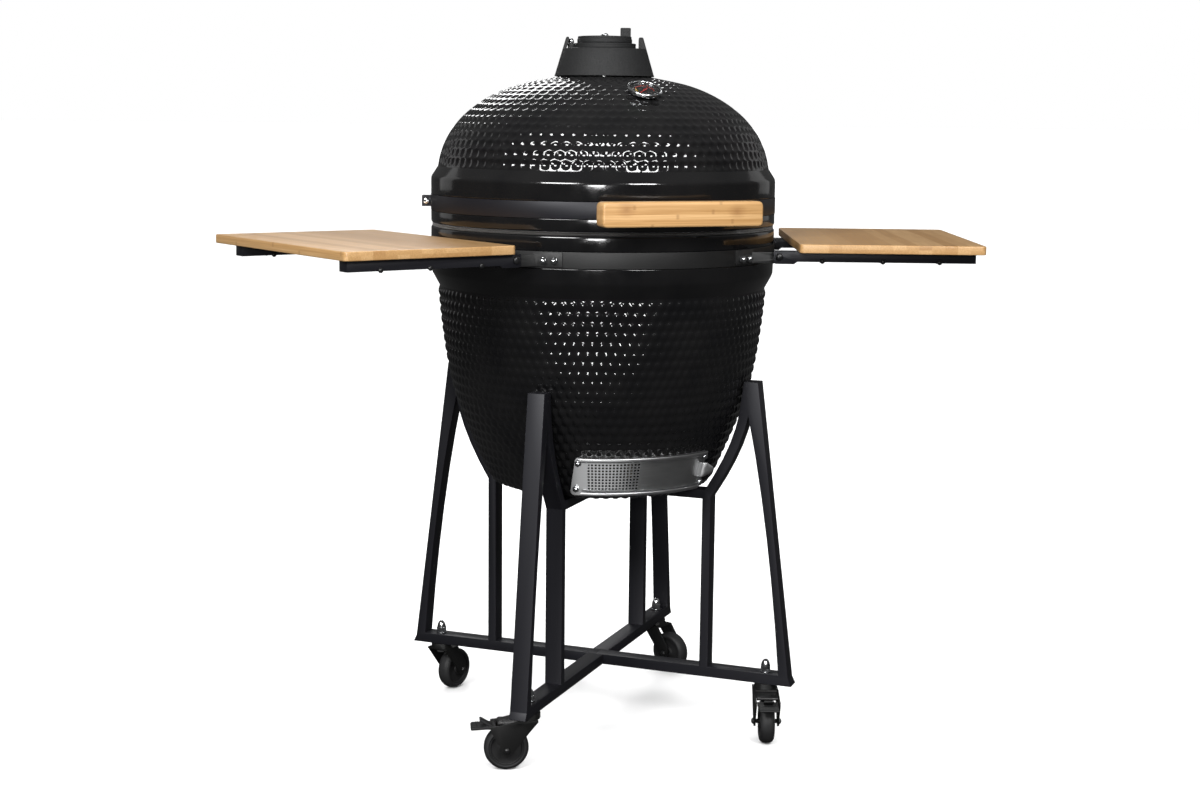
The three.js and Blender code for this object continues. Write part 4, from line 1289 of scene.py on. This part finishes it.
def softbox(name, azimuth, distance, height, size, power, target_z):
    """An area light at an azimuth about the grill, facing it."""
    data = bpy.data.lights.new(name, "AREA")
    data.shape = "RECTANGLE"
    data.size, data.size_y = size
    data.energy = power
    side = Vector((sin(radians(azimuth)), -cos(radians(azimuth)), 0))
    lamp = placed(name, data)
    lamp.location = AXIS + side * distance + Vector((0, 0, height))
    target = AXIS + Vector((0, 0, target_z))
    lamp.rotation_euler = (target - lamp.location).to_track_quat("-Z", "Y").to_euler()
    return lamp


def only_lights(lamp, *names):
    """Keeps a lamp's light to the named pieces."""
    lit = bpy.data.collections.new(lamp.name + "_receivers")
    for name in names:
        lit.objects.link(bpy.data.objects[name])
    lamp.light_linking.receiver_collection = lit


def floor():
    """A pale floor with a light of its own, which neither mirrors in the grill nor lights it."""
    bpy.ops.mesh.primitive_plane_add(size=400, location=(0, 0, 0))
    ground = bpy.context.object
    ground.name = "floor"
    s = Shader("floor_white", Roughness=0.8, Specular_IOR_Level=0.0)
    s.set("Base Color", s.ramp(s.noise(0.7, 2), [(0.3, 0.86), (0.7, 0.88)]))
    dress(ground, s.material)
    ground.visible_glossy = False
    ground.visible_diffuse = False
    sun = placed("floor_sun", bpy.data.lights.new("floor_sun", "SUN"))
    sun.data.energy = 4.1
    sun.data.angle = radians(110)
    only_lights(sun, "floor")


def studio_world():
    """White behind the grill, and a dim studio around it, a little brighter overhead."""
    world = bpy.data.worlds.new("studio")
    bpy.context.scene.world = world
    world.use_nodes = True
    nodes, links = world.node_tree.nodes, world.node_tree.links
    seen, lit = nodes["Background"], nodes.new("ShaderNodeBackground")
    seen.inputs["Color"].default_value = (1, 1, 1, 1)
    seen.inputs["Strength"].default_value = 1.0
    coordinate, axes = nodes.new("ShaderNodeTexCoord"), nodes.new("ShaderNodeSeparateXYZ")
    ramp = nodes.new("ShaderNodeValToRGB")
    links.new(coordinate.outputs["Generated"], axes.inputs[0])
    links.new(axes.outputs[2], ramp.inputs["Fac"])
    low, high = ramp.color_ramp.elements
    low.position, low.color = 0.0, (0.05, 0.05, 0.05, 1)
    high.position, high.color = 1.0, (0.20, 0.20, 0.20, 1)
    links.new(ramp.outputs["Color"], lit.inputs["Color"])
    lit.inputs["Strength"].default_value = 1.0
    path, chooser = nodes.new("ShaderNodeLightPath"), nodes.new("ShaderNodeMixShader")
    links.new(path.outputs["Is Camera Ray"], chooser.inputs[0])
    links.new(lit.outputs[0], chooser.inputs[1])
    links.new(seen.outputs[0], chooser.inputs[2])
    links.new(chooser.outputs[0], nodes["World Output"].inputs["Surface"])


def stage():
    bpy.context.scene.view_settings.view_transform = "Standard"
    floor()
    studio_world()
    lamps = {name: softbox(name, *place) for name, place in SOFTBOXES.items()}
    lamps["overhead"].visible_glossy = False
    lamps["floor_bounce"].visible_camera = False
    only_lights(lamps["floor_bounce"], "draft_frame_plate", "draft_screen", "draft_door_panel")


def camera():
    """The photograph's viewing angle: 21 degrees left of the grill's front, a little above it."""
    azimuth, distance, height = -21.0, 3.2504, 1.0763
    pitch, roll, lens, aside = 8.72, 0.62, 55.335, -0.0014
    data = bpy.data.cameras.new("camera")
    data.lens = lens
    data.sensor_width = 36
    obj = placed("camera", data)
    turn = Matrix.Rotation(radians(azimuth), 4, "Z")
    tilt = Matrix.Rotation(radians(90 - pitch), 4, "X") @ Matrix.Rotation(radians(roll), 4, "Z")
    obj.matrix_world = Matrix.Translation(AXIS) @ turn @ shift(aside, -distance, height) @ tilt
    bpy.context.scene.camera = obj


camera()
ceramic_lid()
ceramic_base()
ring_piece("base_band", 0.0007)
ring_piece("base_gasket", 0.0010)
ring_piece("lid_gasket", 0.0010)
inner_ceramics()
grates()
draft_assembly()
for corner in CORNERS:
    softened("frame_" + corner, 0.0016, 3, 12)
casters()
softened("lid_band", 0.0006, 2, 25)
softened("lid_band_bolt", 0.0004, 2)
handle()
thermometer()
vent_top()
hinge()
shelves()
stage()
